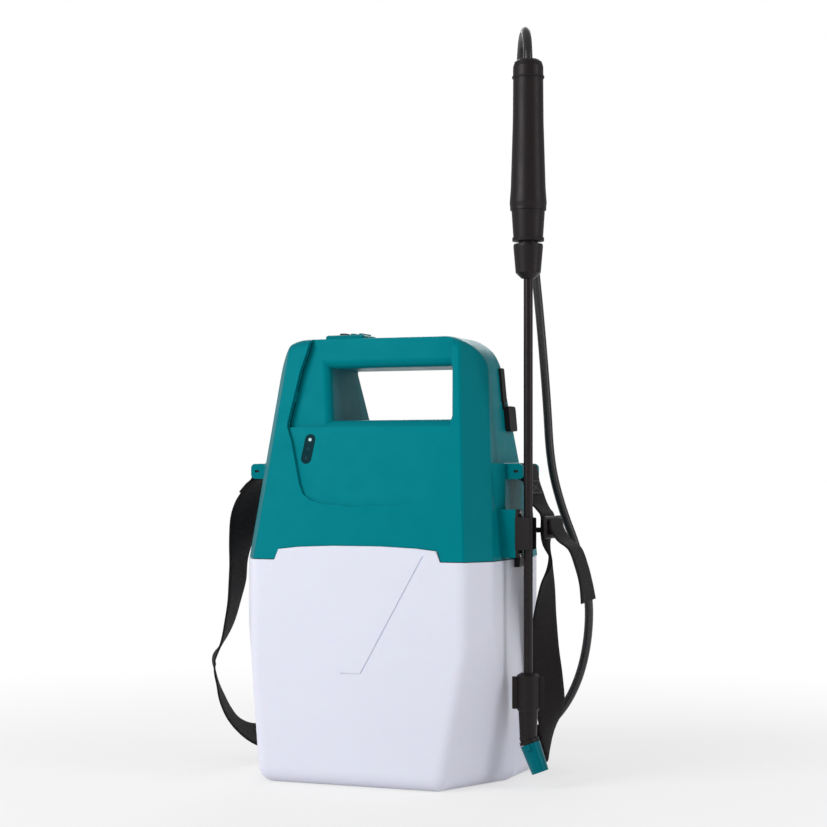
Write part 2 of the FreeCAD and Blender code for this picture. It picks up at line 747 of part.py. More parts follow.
def gauge_plate(label, half_width, half_height, near, far, slant=8.0):
    """A long plate with round ends, set into the front face between two depths."""
    plate = doc.addObject("Part::Box", f"{label}_block")
    bind(plate, Length=f"2 * ({half_width})", Width=f"({far}) - ({near})", Height=f"2 * ({half_height})")
    turn = FreeCAD.Rotation(V(1, 0, 0), -FRONT_LEAN).multiply(FreeCAD.Rotation(V(0, 1, 0), slant))
    shift = turn.multVec(V(-size(half_width), size(near), -size(half_height)))
    plate.Placement = FreeCAD.Placement(V(), turn)
    seat(plate, f"{GAUGE_X} + {shift.x:.5f}", f"{front_y(GAUGE_Z)} + {shift.y:.5f}",
         f"{GAUGE_Z} + {shift.z:.5f}")
    doc.recompute()
    rounded = doc.addObject("Part::Fillet", label)
    rounded.Base = plate
    inward = turn.multVec(V(0, 1, 0))
    radius = size(half_width) - 0.3
    rounded.Edges = [
        (n, radius, radius) for n, edge in enumerate(plate.Shape.Edges, start=1)
        if abs((edge.Vertexes[0].Point - edge.Vertexes[1].Point).normalize().dot(inward)) > 0.99
    ]
    return rounded


gauge_slot = gauge_plate("gauge_slot", "5.1", "13.6", "-6", "9")
SWITCH_X = "-37"
switch_slot = box("switch_slot", (f"{SWITCH_X} - 6.5", f"{SWITCH_X} + 6.5"), ("-14", "-8"),
                  ("head_height - 8", "head_height + 8"))
clip_screw_holes = [
    rod(f"clip_screw_hole_{n}", "1.5", "12", (f"{CLIP_OUT} - 10", "lance_y", z), "x")
    for n, z in enumerate((f"{CLIP_Z[0]} - 4", f"{CLIP_Z[1]} + 4"))
]
head_all = cut("head_all", head_ribbed, *bar_seats, *screw_drills, arch_notch, outlet_hole,
               jack_hole, gauge_slot, switch_slot, *clip_screw_holes)

# The parting face leans forward, so the front shell is what lies in front of it.


def parting_slab(label, shift, front):
    points = [
        ("0", f"{parting_y(HEAD_FOOT)} + ({shift})", HEAD_FOOT),
        ("0", f"{parting_y('head_height')} + ({shift})", "head_height"),
        ("50", f"{parting_y(HEAD_FOOT)} + ({shift})", HEAD_FOOT),
    ]
    return slab_behind(label, *(reversed(points) if front else points))


behind = parting_slab("behind_parting", "0", False)
ahead = parting_slab("ahead_of_parting", "parting_gap", True)
head_front_shell = cut("head_front_shell", head_all, behind)
rear_half = cut("rear_half", head_all, ahead)
head_rear_shell = cut("head_rear_shell", fuse("rear_with_well", rear_half, filler_well), well_hole,
                      neck_clearance)

# ---------------------------------------------------------------- fixed pieces on the head
shell_screws = []
for n, (x, z) in enumerate(SCREWS):
    seat_y = f"{parting_y(z)} + 7"
    shank = rod(f"shell_screw_shank_{n}", "screw_radius", "26", (x, f"{seat_y} - 26", z), "y")
    head = rod(f"shell_screw_head_{n}", "screw_radius + 1.8", "2.4", (x, seat_y, z), "y")
    cross = fuse(f"shell_screw_cross_{n}",
                 box(f"shell_screw_slot_a_{n}", (f"{x} - 2.2", f"{x} + 2.2"),
                     (f"{seat_y} + 1.4", f"{seat_y} + 3"),
                     (f"{z} - 0.4", f"{z} + 0.4")),
                 box(f"shell_screw_slot_b_{n}", (f"{x} - 0.4", f"{x} + 0.4"),
                     (f"{seat_y} + 1.4", f"{seat_y} + 3"),
                     (f"{z} - 2.2", f"{z} + 2.2")))
    shell_screws.append(cut(f"shell_screw_{n}", fuse(f"shell_screw_blank_{n}", shank, head), cross))
head_screws = group("head_screws", *shell_screws)

# Switch: a ribbed bezel on the handle, a sliding button and the switch under it.
bezel_block = soften("bezel_block", box("bezel_raw", (f"{SWITCH_X} - 16.5", f"{SWITCH_X} + 21.5"),
                                        ("-27", "5"), ("head_height", "head_height + 4")),
                     "2.5", lambda edge: edge.Vertexes[0].Point.z != edge.Vertexes[1].Point.z
                     or edge.Vertexes[0].Point.z > size("head_height") + 1)
bezel_ribs = [
    box(f"bezel_rib_{n}", (f"{SWITCH_X} + {out}", f"{SWITCH_X} + {out} + 2.6"), ("-22", "0"),
        ("head_height + 3", "head_height + 5.4"))
    for n, out in enumerate((7, 15))
]
button_slot = box("button_slot", (f"{SWITCH_X} - 6.5", f"{SWITCH_X} + 6.5"), ("-17", "-5"),
                  ("head_height - 1", "head_height + 9"))
switch_bezel = cut("switch_bezel", fuse("bezel_ribbed", bezel_block, *bezel_ribs), button_slot)
button_cap = soften("button_cap",
                    box("button_block", (f"{SWITCH_X} - 6.2", f"{SWITCH_X} - 0.2"), ("-16.7", "-5.3"),
                                      ("head_height + 0.3", "head_height + 6.2")), "1",
                    lambda edge: min(vertex.Point.z for vertex in edge.Vertexes) > size("head_height + 6"))
button_stem = box("button_stem", (f"{SWITCH_X} - 4.7", f"{SWITCH_X} - 1.7"), ("-12.7", "-9.3"),
                  ("head_height - 3", "head_height + 1"))
switch_button = fuse("switch_button", button_cap, button_stem)
switch_body = box("switch_body", (f"{SWITCH_X} - 11.5", f"{SWITCH_X} + 10.5"), ("-19", "-3"),
                  ("head_height - 13", "head_height - 3.3"))

# Gauge
LIGHTS = (8.5, 0.0, -8.5)
gauge_turn = FreeCAD.Rotation(V(1, 0, 0), -FRONT_LEAN).multiply(FreeCAD.Rotation(V(0, 1, 0), 8.0))


def gauge_rod(label, up, radius, near, far):
    item = doc.addObject("Part::Cylinder", label)
    bind(item, Radius=radius, Height=f"({far}) - ({near})")
    item.Placement = FreeCAD.Placement(V(), gauge_turn.multiply(FreeCAD.Rotation(V(-1, 0, 0), 90)))
    shift = gauge_turn.multVec(V(0, size(near), up))
    return seat(item, f"{GAUGE_X} + {shift.x:.5f}", f"{front_y(GAUGE_Z)} + {shift.y:.5f}",
                f"{GAUGE_Z} + {shift.z:.5f}")


light_holes = [gauge_rod(f"light_hole_{n}", up, "1.5", "-5", "9") for n, up in enumerate(LIGHTS)]
gauge_window = cut("gauge_window", gauge_plate("gauge_pane", "5", "13.5", "2.6", "5.2"), *light_holes)
gauge_lights = group("gauge_lights", *(gauge_rod(f"gauge_light_{n}", up, "1.5", "2.4", "6.4")
                                       for n, up in enumerate(LIGHTS)))
gauge_board = gauge_plate("gauge_board", "7", "15", "6.4", "8")

# Charging cover and jack
charge_strap = side_tilted("charge_strap", ("0", "2.2"), ("8", "18"), ("2", "33"), FLAP_TOP, 2.0)
charge_strap.Label = "charge_cover_strap"
flap_pad = side_tilted("flap_pad", ("0.3", "5"), ("12", "32"), ("-24", "-1.5"), FLAP_TOP, 3.0)
flap_neck = side_tilted("flap_neck", ("0.3", "2"), ("9.5", "16.5"), ("-4", "1.4"), FLAP_TOP)
charge_flap = fuse("charge_flap", flap_pad, flap_neck)


def jack_part(label, radius, near, far):
    item = doc.addObject("Part::Cylinder", label)
    bind(item, Radius=radius, Height=f"({far}) - ({near})")
    item.Placement = FreeCAD.Placement(V(), FreeCAD.Rotation(V(0, 1, 0), 90 - SIDE_LEAN))
    lean = math.radians(SIDE_LEAN)
    return seat(item, f"{side_x(JACK_Z)} + ({near}) * {math.cos(lean):.6f}", FLAP_Y,
                f"({JACK_Z}) + ({near}) * {math.sin(lean):.6f}")


charging_jack = cut("charging_jack", jack_part("jack_barrel", "7.4", "-12", "-0.8"),
                    cut("jack_well", jack_part("jack_space", "4", "-10", "2"),
                        jack_part("jack_pin", "1.1", "-11", "-2")))

# Lance clip, its screws, the latch at the seam and the hose hook
clip_plate = box("clip_plate", (CLIP_OUT, f"{CLIP_OUT} + 2.4"), ("lance_y - 7", "lance_y + 7"),
                 (f"{CLIP_Z[0]} - 7", f"{CLIP_Z[1]} + 7"))
clip_jaw = box("clip_jaw", (CLIP_OUT, "lance_x + 5.5"), ("lance_y - 8", "lance_y + 8"), CLIP_Z)
clip_jaw_round = soften("clip_jaw_round", clip_jaw, "2",
                        lambda edge: min(vertex.Point.x for vertex in edge.Vertexes) > size("lance_x + 5"))
tube_seat = rod("tube_seat", "tube_radius + running_gap", "60", ("lance_x", "lance_y", f"{CLIP_Z[0]} - 10"))
tube_mouth = box("tube_mouth", ("lance_x", "lance_x + 20"),
                 ("lance_y - tube_radius - running_gap", "lance_y + tube_radius + running_gap"),
                 (f"{CLIP_Z[0]} - 10", f"{CLIP_Z[1]} + 10"))
clip_holes = [
    rod(f"clip_hole_{n}", "1.6", "12", (f"{CLIP_OUT} - 1", "lance_y", z), "x")
    for n, z in enumerate((f"{CLIP_Z[0]} - 4", f"{CLIP_Z[1]} + 4"))
]
lance_clip = cut("lance_clip", fuse("clip_blank", clip_plate, clip_jaw_round), tube_seat, tube_mouth,
                 *clip_holes)
clip_screws = group("clip_screws", *(
    fuse(f"clip_screw_{n}",
         rod(f"clip_screw_shank_{n}", "1.4", "11", (f"{CLIP_OUT} - 8.6", "lance_y", z), "x"),
         rod(f"clip_screw_head_{n}", "2.8", "1.5", (f"{CLIP_OUT} + 2.4", "lance_y", z), "x"))
    for n, z in enumerate((f"{CLIP_Z[0]} - 4", f"{CLIP_Z[1]} + 4"))))
head_latch = soften("head_latch", box("latch_block", ("tank_width / 2", "tank_width / 2 + 5"), ("3", "25"),
                                      ("seam_height - 7", "seam_height + 2.4")), "1.2",
                    lambda edge: min(vertex.Point.x for vertex in edge.Vertexes) > size("tank_width / 2 + 4"))
hose_hook = fuse("hose_hook", rod("hook_peg", "2.4", "13", ("tank_width / 2", "46", "seam_height + 25"), "x"),
                 rod("hook_flange", "4.5", "2", ("tank_width / 2", "46", "seam_height + 25"), "x"),
                 rod("hook_end", "3.6", "2", ("tank_width / 2 + 12", "46", "seam_height + 25"), "x"))

# Outlet on the back: a flanged elbow that turns down, and its union nut
OUTLET = ("-70", "tank_depth / 2 + 19", "seam_height + 27")
outlet_stub = rod("outlet_stub", "6.4", "tank_depth / 2 + 19 - 60", ("-70", "60", OUTLET[2]), "y")
outlet_flange = rod("outlet_flange", "10.5", "2.5", ("-70", "tank_depth / 2 - 2", OUTLET[2]), "y")
outlet_bend = doc.addObject("Part::Sphere", "outlet_bend")
seat(bind(outlet_bend, Radius="6.4"), *OUTLET)
outlet_drop = rod("outlet_drop", "6.4", "18", (OUTLET[0], OUTLET[1], f"{OUTLET[2]} - 18"))
outlet_barb = rod("outlet_barb", "3.4", "26", (OUTLET[0], OUTLET[1], f"{OUTLET[2]} - 26"))
outlet_way = rod("outlet_way", "2", "26", (OUTLET[0], OUTLET[1], f"{OUTLET[2]} - 27"))
outlet_way_in = rod("outlet_way_in", "2", "tank_depth / 2 + 19 - 59", ("-70", "59", OUTLET[2]), "y")
outlet_fitting = cut("outlet_fitting",
                     fuse("outlet_blank", outlet_stub, outlet_flange, outlet_bend, outlet_drop,
                                            outlet_barb), outlet_way, outlet_way_in)
NUT_LOW = f"({OUTLET[2]} - 28)"
nut_flats = doc.addObject("Part::Prism", "nut_flats")
bind(nut_flats, Circumradius="10", Height="9.7")
nut_flats.Polygon = 6
seat(nut_flats, OUTLET[0], OUTLET[1], NUT_LOW)
outlet_nut = cut("outlet_nut", nut_flats,
                 rod("nut_bore", "hose_radius + 0.1", "30", (OUTLET[0], OUTLET[1], f"{NUT_LOW} - 5")))

# ---------------------------------------------------------------- works in the head
DECK_TOP = "seam_height + deck_thickness"
deck_plate = pull("deck_plate", plan("deck_plan", "seam_height", *HEAD_LOW, "head_wall + 3.2"), (0, 0, 1),
                  "deck_thickness")
deck_spigot = rod("deck_spigot", "neck_radius - 0.4", "12", ("neck_x", "neck_y", "seam_height - 12"))
spigot_space = rod("spigot_space", "neck_radius - 4", "13", ("neck_x", "neck_y", "seam_height - 13"))
seal_groove = cut("seal_groove",
                  rod("seal_groove_out", "neck_radius + 7", "1.6", ("neck_x", "neck_y", "seam_height")),
                  rod("seal_groove_in", "neck_radius + 3", "3", ("neck_x", "neck_y", "seam_height - 1")))
deck_screw_holes = [
    rod(f"deck_screw_hole_{n}", "screw_radius", "20",
        (f"{sx} * (tank_width / 2 - 16)", f"{sy} * (tank_depth / 2 - 38) - 4", "seam_height - 5"))
    for n, (sx, sy) in enumerate(POSTS)
]
deck_filler_gap = filler_rod("deck_filler_gap", "filler_radius + 0.3", "-30", "90")
suction_way = rod("suction_way", "tube_radius + 0.05", "30", ("neck_x", "neck_y", "seam_height - 5"))
pump_deck = cut("pump_deck", fuse("deck_blank", deck_plate, deck_spigot), spigot_space, seal_groove,
                deck_filler_gap, suction_way, *deck_screw_holes)
deck_seal = cut("deck_seal", rod("seal_out", "neck_radius + 6.9", "1.6", ("neck_x", "neck_y", "seam_height")),
                rod("seal_in", "neck_radius + 3.1", "3", ("neck_x", "neck_y", "seam_height - 1")))
deck_screws = group("deck_screws", *(
    fuse(f"deck_screw_{n}",
         rod(f"deck_screw_shank_{n}", "screw_radius - 0.15", "15",
             (f"{sx} * (tank_width / 2 - 16)", f"{sy} * (tank_depth / 2 - 38) - 4",
                                                                   f"{DECK_TOP} - 15")),
         rod(f"deck_screw_head_{n}", "screw_radius + 1.8", "2.2",
             (f"{sx} * (tank_width / 2 - 16)", f"{sy} * (tank_depth / 2 - 38) - 4", DECK_TOP)))
    for n, (sx, sy) in enumerate(POSTS)))
suction_tube = cut("suction_tube",
                   rod("suction_wall", "tube_radius", f"{DECK_TOP} - 14", ("neck_x", "neck_y", "14")),
                   rod("suction_bore", "tube_radius - 1.2", DECK_TOP, ("neck_x", "neck_y", "10")))
suction_filter = cut("suction_filter", rod("filter_cup", "12", "22", ("neck_x", "neck_y", "tank_wall + 0.3")),
                     rod("filter_socket", "tube_radius + 0.05", "30", ("neck_x", "neck_y", "14")),
                     *(box(f"filter_slot_{n}", ("neck_x - 13", "neck_x + 13"), ("neck_y - 6", "neck_y + 6"),
                           (f"tank_wall + {2.3 + 3.2 * n}",
                            f"tank_wall + {3.7 + 3.2 * n}")) for n in range(3)))
PUMP_X = ("neck_x - pump_size / 2", "neck_x + pump_size / 2")
PUMP_Y = ("neck_y - 6 - pump_size / 2", "neck_y - 6 + pump_size / 2")
pump_block = box("pump_block", PUMP_X, PUMP_Y, (DECK_TOP, f"{DECK_TOP} + pump_size"))
pump_head = soften("pump_head", pump_block, "3",
                   lambda edge: edge.Vertexes[0].Point.z != edge.Vertexes[1].Point.z)
MOTOR_Z = f"{DECK_TOP} + motor_radius + 3"
pump_motor = fuse("pump_motor",
                  rod("motor_can", "motor_radius", "motor_length - 4", (PUMP_X[1], "neck_y - 6", MOTOR_Z),
                      "x"),
                  rod("motor_end", "motor_radius - 6", "motor_length", (PUMP_X[1], "neck_y - 6", MOTOR_Z),
                      "x"))
motor_cradle = box("motor_cradle", (f"{PUMP_X[1]} + 6", f"{PUMP_X[1]} + motor_length - 12"),
                   ("neck_y - 6 - motor_radius - 2", "neck_y - 6 + motor_radius + 2"), (DECK_TOP, MOTOR_Z))
motor_bracket = cut("motor_bracket", motor_cradle, rod("cradle_bore", "motor_radius", "motor_length",
                                                       (PUMP_X[1], "neck_y - 6", MOTOR_Z), "x"))
pressure_switch = fuse("pressure_switch",
                       rod("pressure_body", "8", "11", ("neck_x", "neck_y - 6", f"{DECK_TOP} + pump_size")),
                       box("pressure_tabs", ("neck_x - 4", "neck_x + 4"), ("neck_y - 6.5", "neck_y - 5.5"),
                           (f"{DECK_TOP} + pump_size + 8", f"{DECK_TOP} + pump_size + 17")))
control_board = box("control_board", ("neck_x - 26", "neck_x + 26"), (PUMP_Y[1], f"{PUMP_Y[1]} + 1.6"),
                    (DECK_TOP, f"{DECK_TOP} + 40"))
CELLS = [(column, line) for line in range(2) for column in range(3)]
CELL_X = "(tank_width / 2 - 73)"
CELL_Y = "(-tank_depth / 2 + 32)"
battery_cells = group("battery_cells", *(
    rod(f"cell_{n}", "cell_radius", "cell_length",
        (f"{CELL_X} + {column} * cell_pitch", f"{CELL_Y} + {line} * cell_pitch", f"{DECK_TOP} + 2"))
    for n, (column, line) in enumerate(CELLS)))
tray = box("tray", (f"{CELL_X} - cell_radius - 1.5", f"{CELL_X} + 2 * cell_pitch + cell_radius + 1.5"),
           (f"{CELL_Y} - cell_radius - 1.5", f"{CELL_Y} + cell_pitch + cell_radius + 1.5"),
           (DECK_TOP, f"{DECK_TOP} + 16"))
battery_holder = cut("battery_holder", tray, *(
    rod(f"cell_seat_{n}", "cell_radius + 0.05", "30",
        (f"{CELL_X} + {column} * cell_pitch", f"{CELL_Y} + {line} * cell_pitch", f"{DECK_TOP} + 2"))
    for n, (column, line) in enumerate(CELLS)))

# ---------------------------------------------------------------- filler cap and strainer
CAP_LOW = "filler_reach + 4.5 - cap_depth"
cap_skirt = filler_rod("cap_skirt", "cap_radius - 1.6", CAP_LOW, "cap_depth")
cap_ribs = []
RIB_COUNT = 18
for n in range(RIB_COUNT):
    around = 360.0 / RIB_COUNT * n
    out_x = f"(cap_radius - 1.6) * {math.cos(math.radians(around)):.6f}"
    up = f"(cap_radius - 1.6) * {math.sin(math.radians(around)):.6f}"
    rib = doc.addObject("Part::Cylinder", f"cap_rib_{n}")
    bind(rib, Radius="1.6", Height="cap_depth - 3")
    rib.Placement = FreeCAD.Placement(V(), FreeCAD.Rotation(V(-1, 0, 0), size("filler_tilt")))
    lean = "filler_tilt * 1deg"
    cap_ribs.append(seat(
        rib, f"filler_x + {out_x}",
        f"filler_y + ({CAP_LOW}) * sin({lean}) - {up} * cos({lean})",
        f"seam_height + ({CAP_LOW}) * cos({lean}) + {up} * sin({lean})"))
cap_thread_space = filler_rod("cap_thread_space", "filler_radius + running_gap", f"{CAP_LOW} - 2",
                              "cap_depth - 1")
cap_vent_hole = filler_rod("cap_vent_hole", "3", "filler_reach - 2", "20")
filler_cap = cut("filler_cap", fuse("cap_blank", cap_skirt, *cap_ribs), cap_thread_space, cap_vent_hole)
cap_gasket = cut("cap_gasket", filler_rod("gasket_out", "filler_radius - 0.2", "filler_reach + 0.2", "1.2"),
                 filler_rod("gasket_in", "filler_radius - filler_wall", "filler_reach - 1", "4"))
cap_vent = fuse("cap_vent", filler_rod("vent_stem", "2.95", "filler_reach + 0.4", "5"),
                filler_rod("vent_button", "6", "filler_reach + 4.5", "1.8"))
basket_out = filler_rod("basket_out", "filler_radius - filler_wall - 0.4", "14", "filler_reach - 14")
basket_in = filler_rod("basket_in", "filler_radius - filler_wall - 2", "16", "filler_reach")
basket_slots = []
for n in range(3):
    slot = box(f"basket_slot_{n}", ("filler_x - 40", "filler_x + 40"), ("-2", "2"), ("-2", "2"))
    reach = 24 + 9 * n
    seat(slot, "filler_x - 40", f"filler_y + {reach} * sin(filler_tilt * 1deg) - 2",
         f"seam_height + {reach} * cos(filler_tilt * 1deg) - 2")
    basket_slots.append(slot)
filler_strainer = cut("filler_strainer", basket_out, basket_in, *basket_slots)

# ---------------------------------------------------------------- lance, upright on the right side
NUT_LOW_Z = "tube_top - 12"
NUT_TOP_Z = "grip_low - 32"
lance_tube = turned("lance_tube", [
    ("tube_radius - tube_wall", "tube_low"), ("tube_radius", "tube_low"),
    ("tube_radius", "tube_top"), ("tube_radius - tube_wall", "tube_top"),
])
lance_nut = turned("lance_nut", [
    ("tube_radius", NUT_LOW_Z), ("tube_radius + 2", NUT_LOW_Z), ("tube_radius + 7", f"{NUT_LOW_Z} + 5"),
    ("tube_radius + 9", f"{NUT_TOP_Z} - 2"), ("tube_radius + 8.6", NUT_TOP_Z), ("2.5", NUT_TOP_Z),
    ("2.5", "tube_top"), ("tube_radius", "tube_top"),
])
tube_ring = turned("tube_ring", [
    ("tube_radius - 3.6", "tube_top + 0.2"), ("tube_radius - 1.6", "tube_top + 0.2"),
    ("tube_radius - 1.6", "tube_top + 2"), ("tube_radius - 3.6", "tube_top + 2"),
])
collar_ring = turned("collar_ring", [
    ("8.5", f"{NUT_TOP_Z} + 2.6"), ("13.9", f"{NUT_TOP_Z} + 2.6"), ("13.9", f"{NUT_TOP_Z} + 5.6"),
    ("8.5", f"{NUT_TOP_Z} + 5.6"),
])


def on_handle(item, x, y, z):
    """Seat an item in the handle's own directions, +Y being the trigger's side."""
    turn = math.radians(size("handle_turn"))
    item.Placement = FreeCAD.Placement(V(), FreeCAD.Rotation(V(0, 0, 1), size("handle_turn")))
    return seat(item, f"lance_x + ({x}) * {math.cos(turn):.6f} - ({y}) * {math.sin(turn):.6f}",
                f"lance_y + ({x}) * {math.sin(turn):.6f} + ({y}) * {math.cos(turn):.6f}", z)


def handle_box(label, x, y, z):
    item = doc.addObject("Part::Box", label)
    bind(item, Length=f"({x[1]}) - ({x[0]})", Width=f"({y[1]}) - ({y[0]})", Height=f"({z[1]}) - ({z[0]})")
    return on_handle(item, x[0], y[0], z[0])


def handle_pin(label, radius, x, y, z):
    """A cylinder across the handle."""
    item = doc.addObject("Part::Cylinder", label)
    bind(item, Radius=radius, Height=f"({x[1]}) - ({x[0]})")
    on_handle(item, x[0], y, z)
    item.Placement.Rotation = FreeCAD.Rotation(V(0, 0, 1),
                                               size("handle_turn")).multiply(FreeCAD.Rotation(V(0, 1, 0), 90))
    return item


PIVOT = ("18.5", "grip_low - 13")
valve_shape = turned("valve_shape", [
    ("0", NUT_TOP_Z), ("8.4", NUT_TOP_Z), ("8.4", f"{NUT_TOP_Z} + 5.6"), ("13", f"{NUT_TOP_Z} + 5.6"),
    ("14.6", "grip_low - 2.4"), ("15.8", "grip_low - 2.4"), ("15.8", "grip_low"), ("0", "grip_low"),
])
ears = [handle_box(f"ear_{n}", x, ("10", "24"), ("grip_low - 21", "grip_low - 5")) for n, x in enumerate(
    (("-9", "-5.2"), ("5.2", "9")))]
stem_chamber = turned("stem_chamber", [
    ("0", f"{NUT_TOP_Z} + 6.4"), ("5", f"{NUT_TOP_Z} + 6.4"), ("5", "grip_low - 12"), ("0", "grip_low - 12"),
])
liquid_way = turned("liquid_way", [
    ("0", f"{NUT_TOP_Z} - 1"), ("1.9", f"{NUT_TOP_Z} - 1"), ("1.9", "grip_low + 1"), ("0", "grip_low + 1"),
])
nose_window = handle_box("nose_window", ("-4.9", "4.9"), ("0", "30"), ("grip_low - 22", "grip_low - 5.5"))
pin_way = handle_pin("pin_way", "2.05", ("-10", "10"), *PIVOT)
valve_body = cut("valve_body", fuse("valve_blank", valve_shape, *ears), stem_chamber, liquid_way,
                 nose_window, pin_way)
trigger_pin = handle_pin("trigger_pin", "2", ("-9.8", "9.8"), *PIVOT)

trigger_profile = outline("trigger_profile", [
    ("14", "grip_low - 17"), ("23", "grip_low - 17.5"), ("24.5", "grip_low - 10"), ("26.5", "grip_low + 20"),
    ("34", "grip_low + 74"), ("36.5", "grip_low + 86"), ("33.5", "grip_low + 88"), ("30.5", "grip_low + 75"),
    ("22", "grip_low + 20"), ("19.5", "grip_low - 4"), ("15", "grip_low - 8"),
], "YZ")
trigger_arm = pull("trigger_arm", trigger_profile, (1, 0, 0), "9")
trigger_nose = box("trigger_nose", ("2.2", "6.8"), ("3", "16"), ("grip_low - 17.4", "grip_low - 14"))
trigger_flat = fuse("trigger_flat", trigger_arm, trigger_nose)
doc.recompute()
turn = FreeCAD.Rotation(V(0, 0, 1), size("handle_turn"))
trigger_cut = cut("trigger_cut", trigger_flat,
                  rod("trigger_eye", "2.1", "20", ("-5", PIVOT[0], PIVOT[1]), "x"))
half_width = turn.multVec(V(4.5, 0, 0))
seat(trigger_cut, f"lance_x - {half_width.x:.6f}", f"lance_y - {half_width.y:.6f}", 0, (0, 0, 1),
     "handle_turn")
trigger = soften("trigger", trigger_cut, "1.2", lambda edge: edge.Length > 30)

STEM_Z = "grip_low - 20.6"
valve_stem = turned("valve_stem", [
    ("0", f"{NUT_TOP_Z} + 1"), ("1.6", f"{NUT_TOP_Z} + 1"), ("1.6", STEM_Z), ("4.2", STEM_Z),
    ("4.2", f"{STEM_Z} + 2.8"), ("0", f"{STEM_Z} + 2.8"),
])
helix = Part.makeHelix(1.5, size(f"{STEM_Z} - ({NUT_TOP_Z}) - 7.6"), 3.2)
coil = Part.Wire(helix.Edges)
start = coil.Edges[0].valueAt(coil.Edges[0].FirstParameter)
ring = Part.Wire([Part.makeCircle(0.4, start, coil.Edges[0].tangentAt(coil.Edges[0].FirstParameter))])
spring_shape = coil.makePipeShell([ring], True, True)
valve_spring = feature("valve_spring", spring_shape)
seat(valve_spring, "lance_x", "lance_y", f"{NUT_TOP_Z} + 6.9")

grip = turned("lance_grip", [
    ("9", "grip_low"), ("grip_low_radius", "grip_low"), ("grip_low_radius + 0.4", "grip_low + 4"),
    ("grip_low_radius - 0.6", "grip_low + 18"), ("grip_top_radius + 1.2", "grip_low + 45"),
    ("grip_top_radius + 0.3", "grip_low + 75"), ("grip_top_radius", "grip_top"), ("9", "grip_top"),
])
grip_ring = turned("grip_ring", [
    ("6", "grip_top"), ("grip_top_radius + 0.9", "grip_top"), ("grip_top_radius + 0.9", "grip_top + 1.6"),
    ("6", "grip_top + 1.6"),
])
grip_cap_blank = turned("grip_cap_blank", [
    ("0", "grip_top + 1.6"), ("grip_top_radius + 0.2", "grip_top + 1.6"), ("grip_top_radius", "cap_top - 6"),
    ("grip_top_radius - 1.2", "cap_top - 2"), ("grip_top_radius - 3.6", "cap_top"), ("0", "cap_top"),
])
grip_cap = cut("grip_cap", grip_cap_blank,
               rod("pipe_seat", "4.6", "cap_top - grip_top + 1", ("lance_x", "lance_y", "grip_top")),
               cone("cap_flare", "4.4", "8", "10", ("lance_x", "lance_y", "cap_top - 9")))
grip_pipe = turned("grip_pipe", [
    ("2.4", "grip_low"), ("4.5", "grip_low"), ("4.5", "cap_top - 17"), ("2.4", "cap_top - 17"),
])

# Nozzle end: the body with its wings, an elbow that leans outwards, and the turning cap
nozzle_shape = turned("nozzle_shape", [
    ("3", "nozzle_low"), ("nozzle_radius - 1", "nozzle_low"), ("nozzle_radius", "nozzle_low + 2"),
    ("nozzle_radius", "nozzle_low + 31"), ("nozzle_radius - 3", "nozzle_low + 33"),
    ("tube_radius", "nozzle_low + 33"),
    ("tube_radius", "tube_low"), ("3", "tube_low"),
])
wings = handle_box("wings", ("-wing_span / 2", "wing_span / 2"), ("-2.4", "2.4"),
                   ("nozzle_low + 2", "nozzle_low + 30"))
wings_open = cut("wings_open", wings,
                 rod("wings_core", "nozzle_radius - 1", "60", ("lance_x", "lance_y", "nozzle_low")))
nozzle_body = fuse("nozzle_body", nozzle_shape, wings_open)

BEND_Z = "nozzle_low - 24"
tilt = math.radians(size("nozzle_tilt"))
bend_point = V(size("lance_x"), size("lance_y"), size(BEND_Z))


def tip_piece(label, low_radius, top_radius, near, far):
    """A cone on the nozzle's leaning axis, between two distances from the bend."""
    item = doc.addObject("Part::Cone", label)
    bind(item, Radius1=low_radius, Radius2=top_radius, Height=f"({far}) - ({near})")
    item.Placement = FreeCAD.Placement(V(), FreeCAD.Rotation(V(0, 1, 0), 180 - size("nozzle_tilt")))
    return seat(item, f"lance_x + ({near}) * {math.sin(tilt):.6f}", "lance_y",
                f"{BEND_Z} - ({near}) * {math.cos(tilt):.6f}")


elbow_upper = turned("elbow_upper", [
    ("0", BEND_Z), ("7.4", BEND_Z), ("8.4", "nozzle_low - 2"), ("8.4", "nozzle_low"), ("0", "nozzle_low"),
])
elbow_knee = doc.addObject("Part::Sphere", "elbow_knee")
seat(bind(elbow_knee, Radius="7.6"), "lance_x", "lance_y", BEND_Z)
elbow_collar = tip_piece("elbow_collar", "8.8", "8.8", "1.5", "4.5")
elbow_spigot = tip_piece("elbow_spigot", "6.2", "6.2", "0", "20")
elbow_groove = cut("elbow_groove", tip_piece("groove_out", "8", "8", "14", "16"),
                   tip_piece("groove_in", "5.2", "5.2", "13", "17"))
nozzle_elbow = cut("nozzle_elbow", fuse("elbow_blank", elbow_upper, elbow_knee, elbow_collar, elbow_spigot),
                   elbow_groove, tip_piece("elbow_way", "1.5", "1.5", "-3", "30"),
                   rod("elbow_way_up", "1.5", "60", ("lance_x", "lance_y", BEND_Z)))
nozzle_ring = cut("nozzle_ring", tip_piece("ring_out", "6.15", "6.15", "14.1", "15.9"),
                  tip_piece("ring_in", "5.25", "5.25", "13", "17"))
CAP_ENDS = ("5", "31")
cap_body = tip_piece("cap_body", "8.9", "7.6", *CAP_ENDS)
cap_tab = box("cap_tab", ("-2", "2"), ("-10.8", "10.8"), ("0", "5"))
cap_tab.Placement = FreeCAD.Placement(V(), FreeCAD.Rotation(V(0, 1, 0), 180 - size("nozzle_tilt")))
across = cap_tab.Placement.Rotation.multVec(V(-2, -10.8, 0))
seat(cap_tab, f"lance_x + 5 * {math.sin(tilt):.6f} + {across.x:.6f}", f"lance_y + {across.y:.6f}",
     f"{BEND_Z} - 5 * {math.cos(tilt):.6f} + {across.z:.6f}")
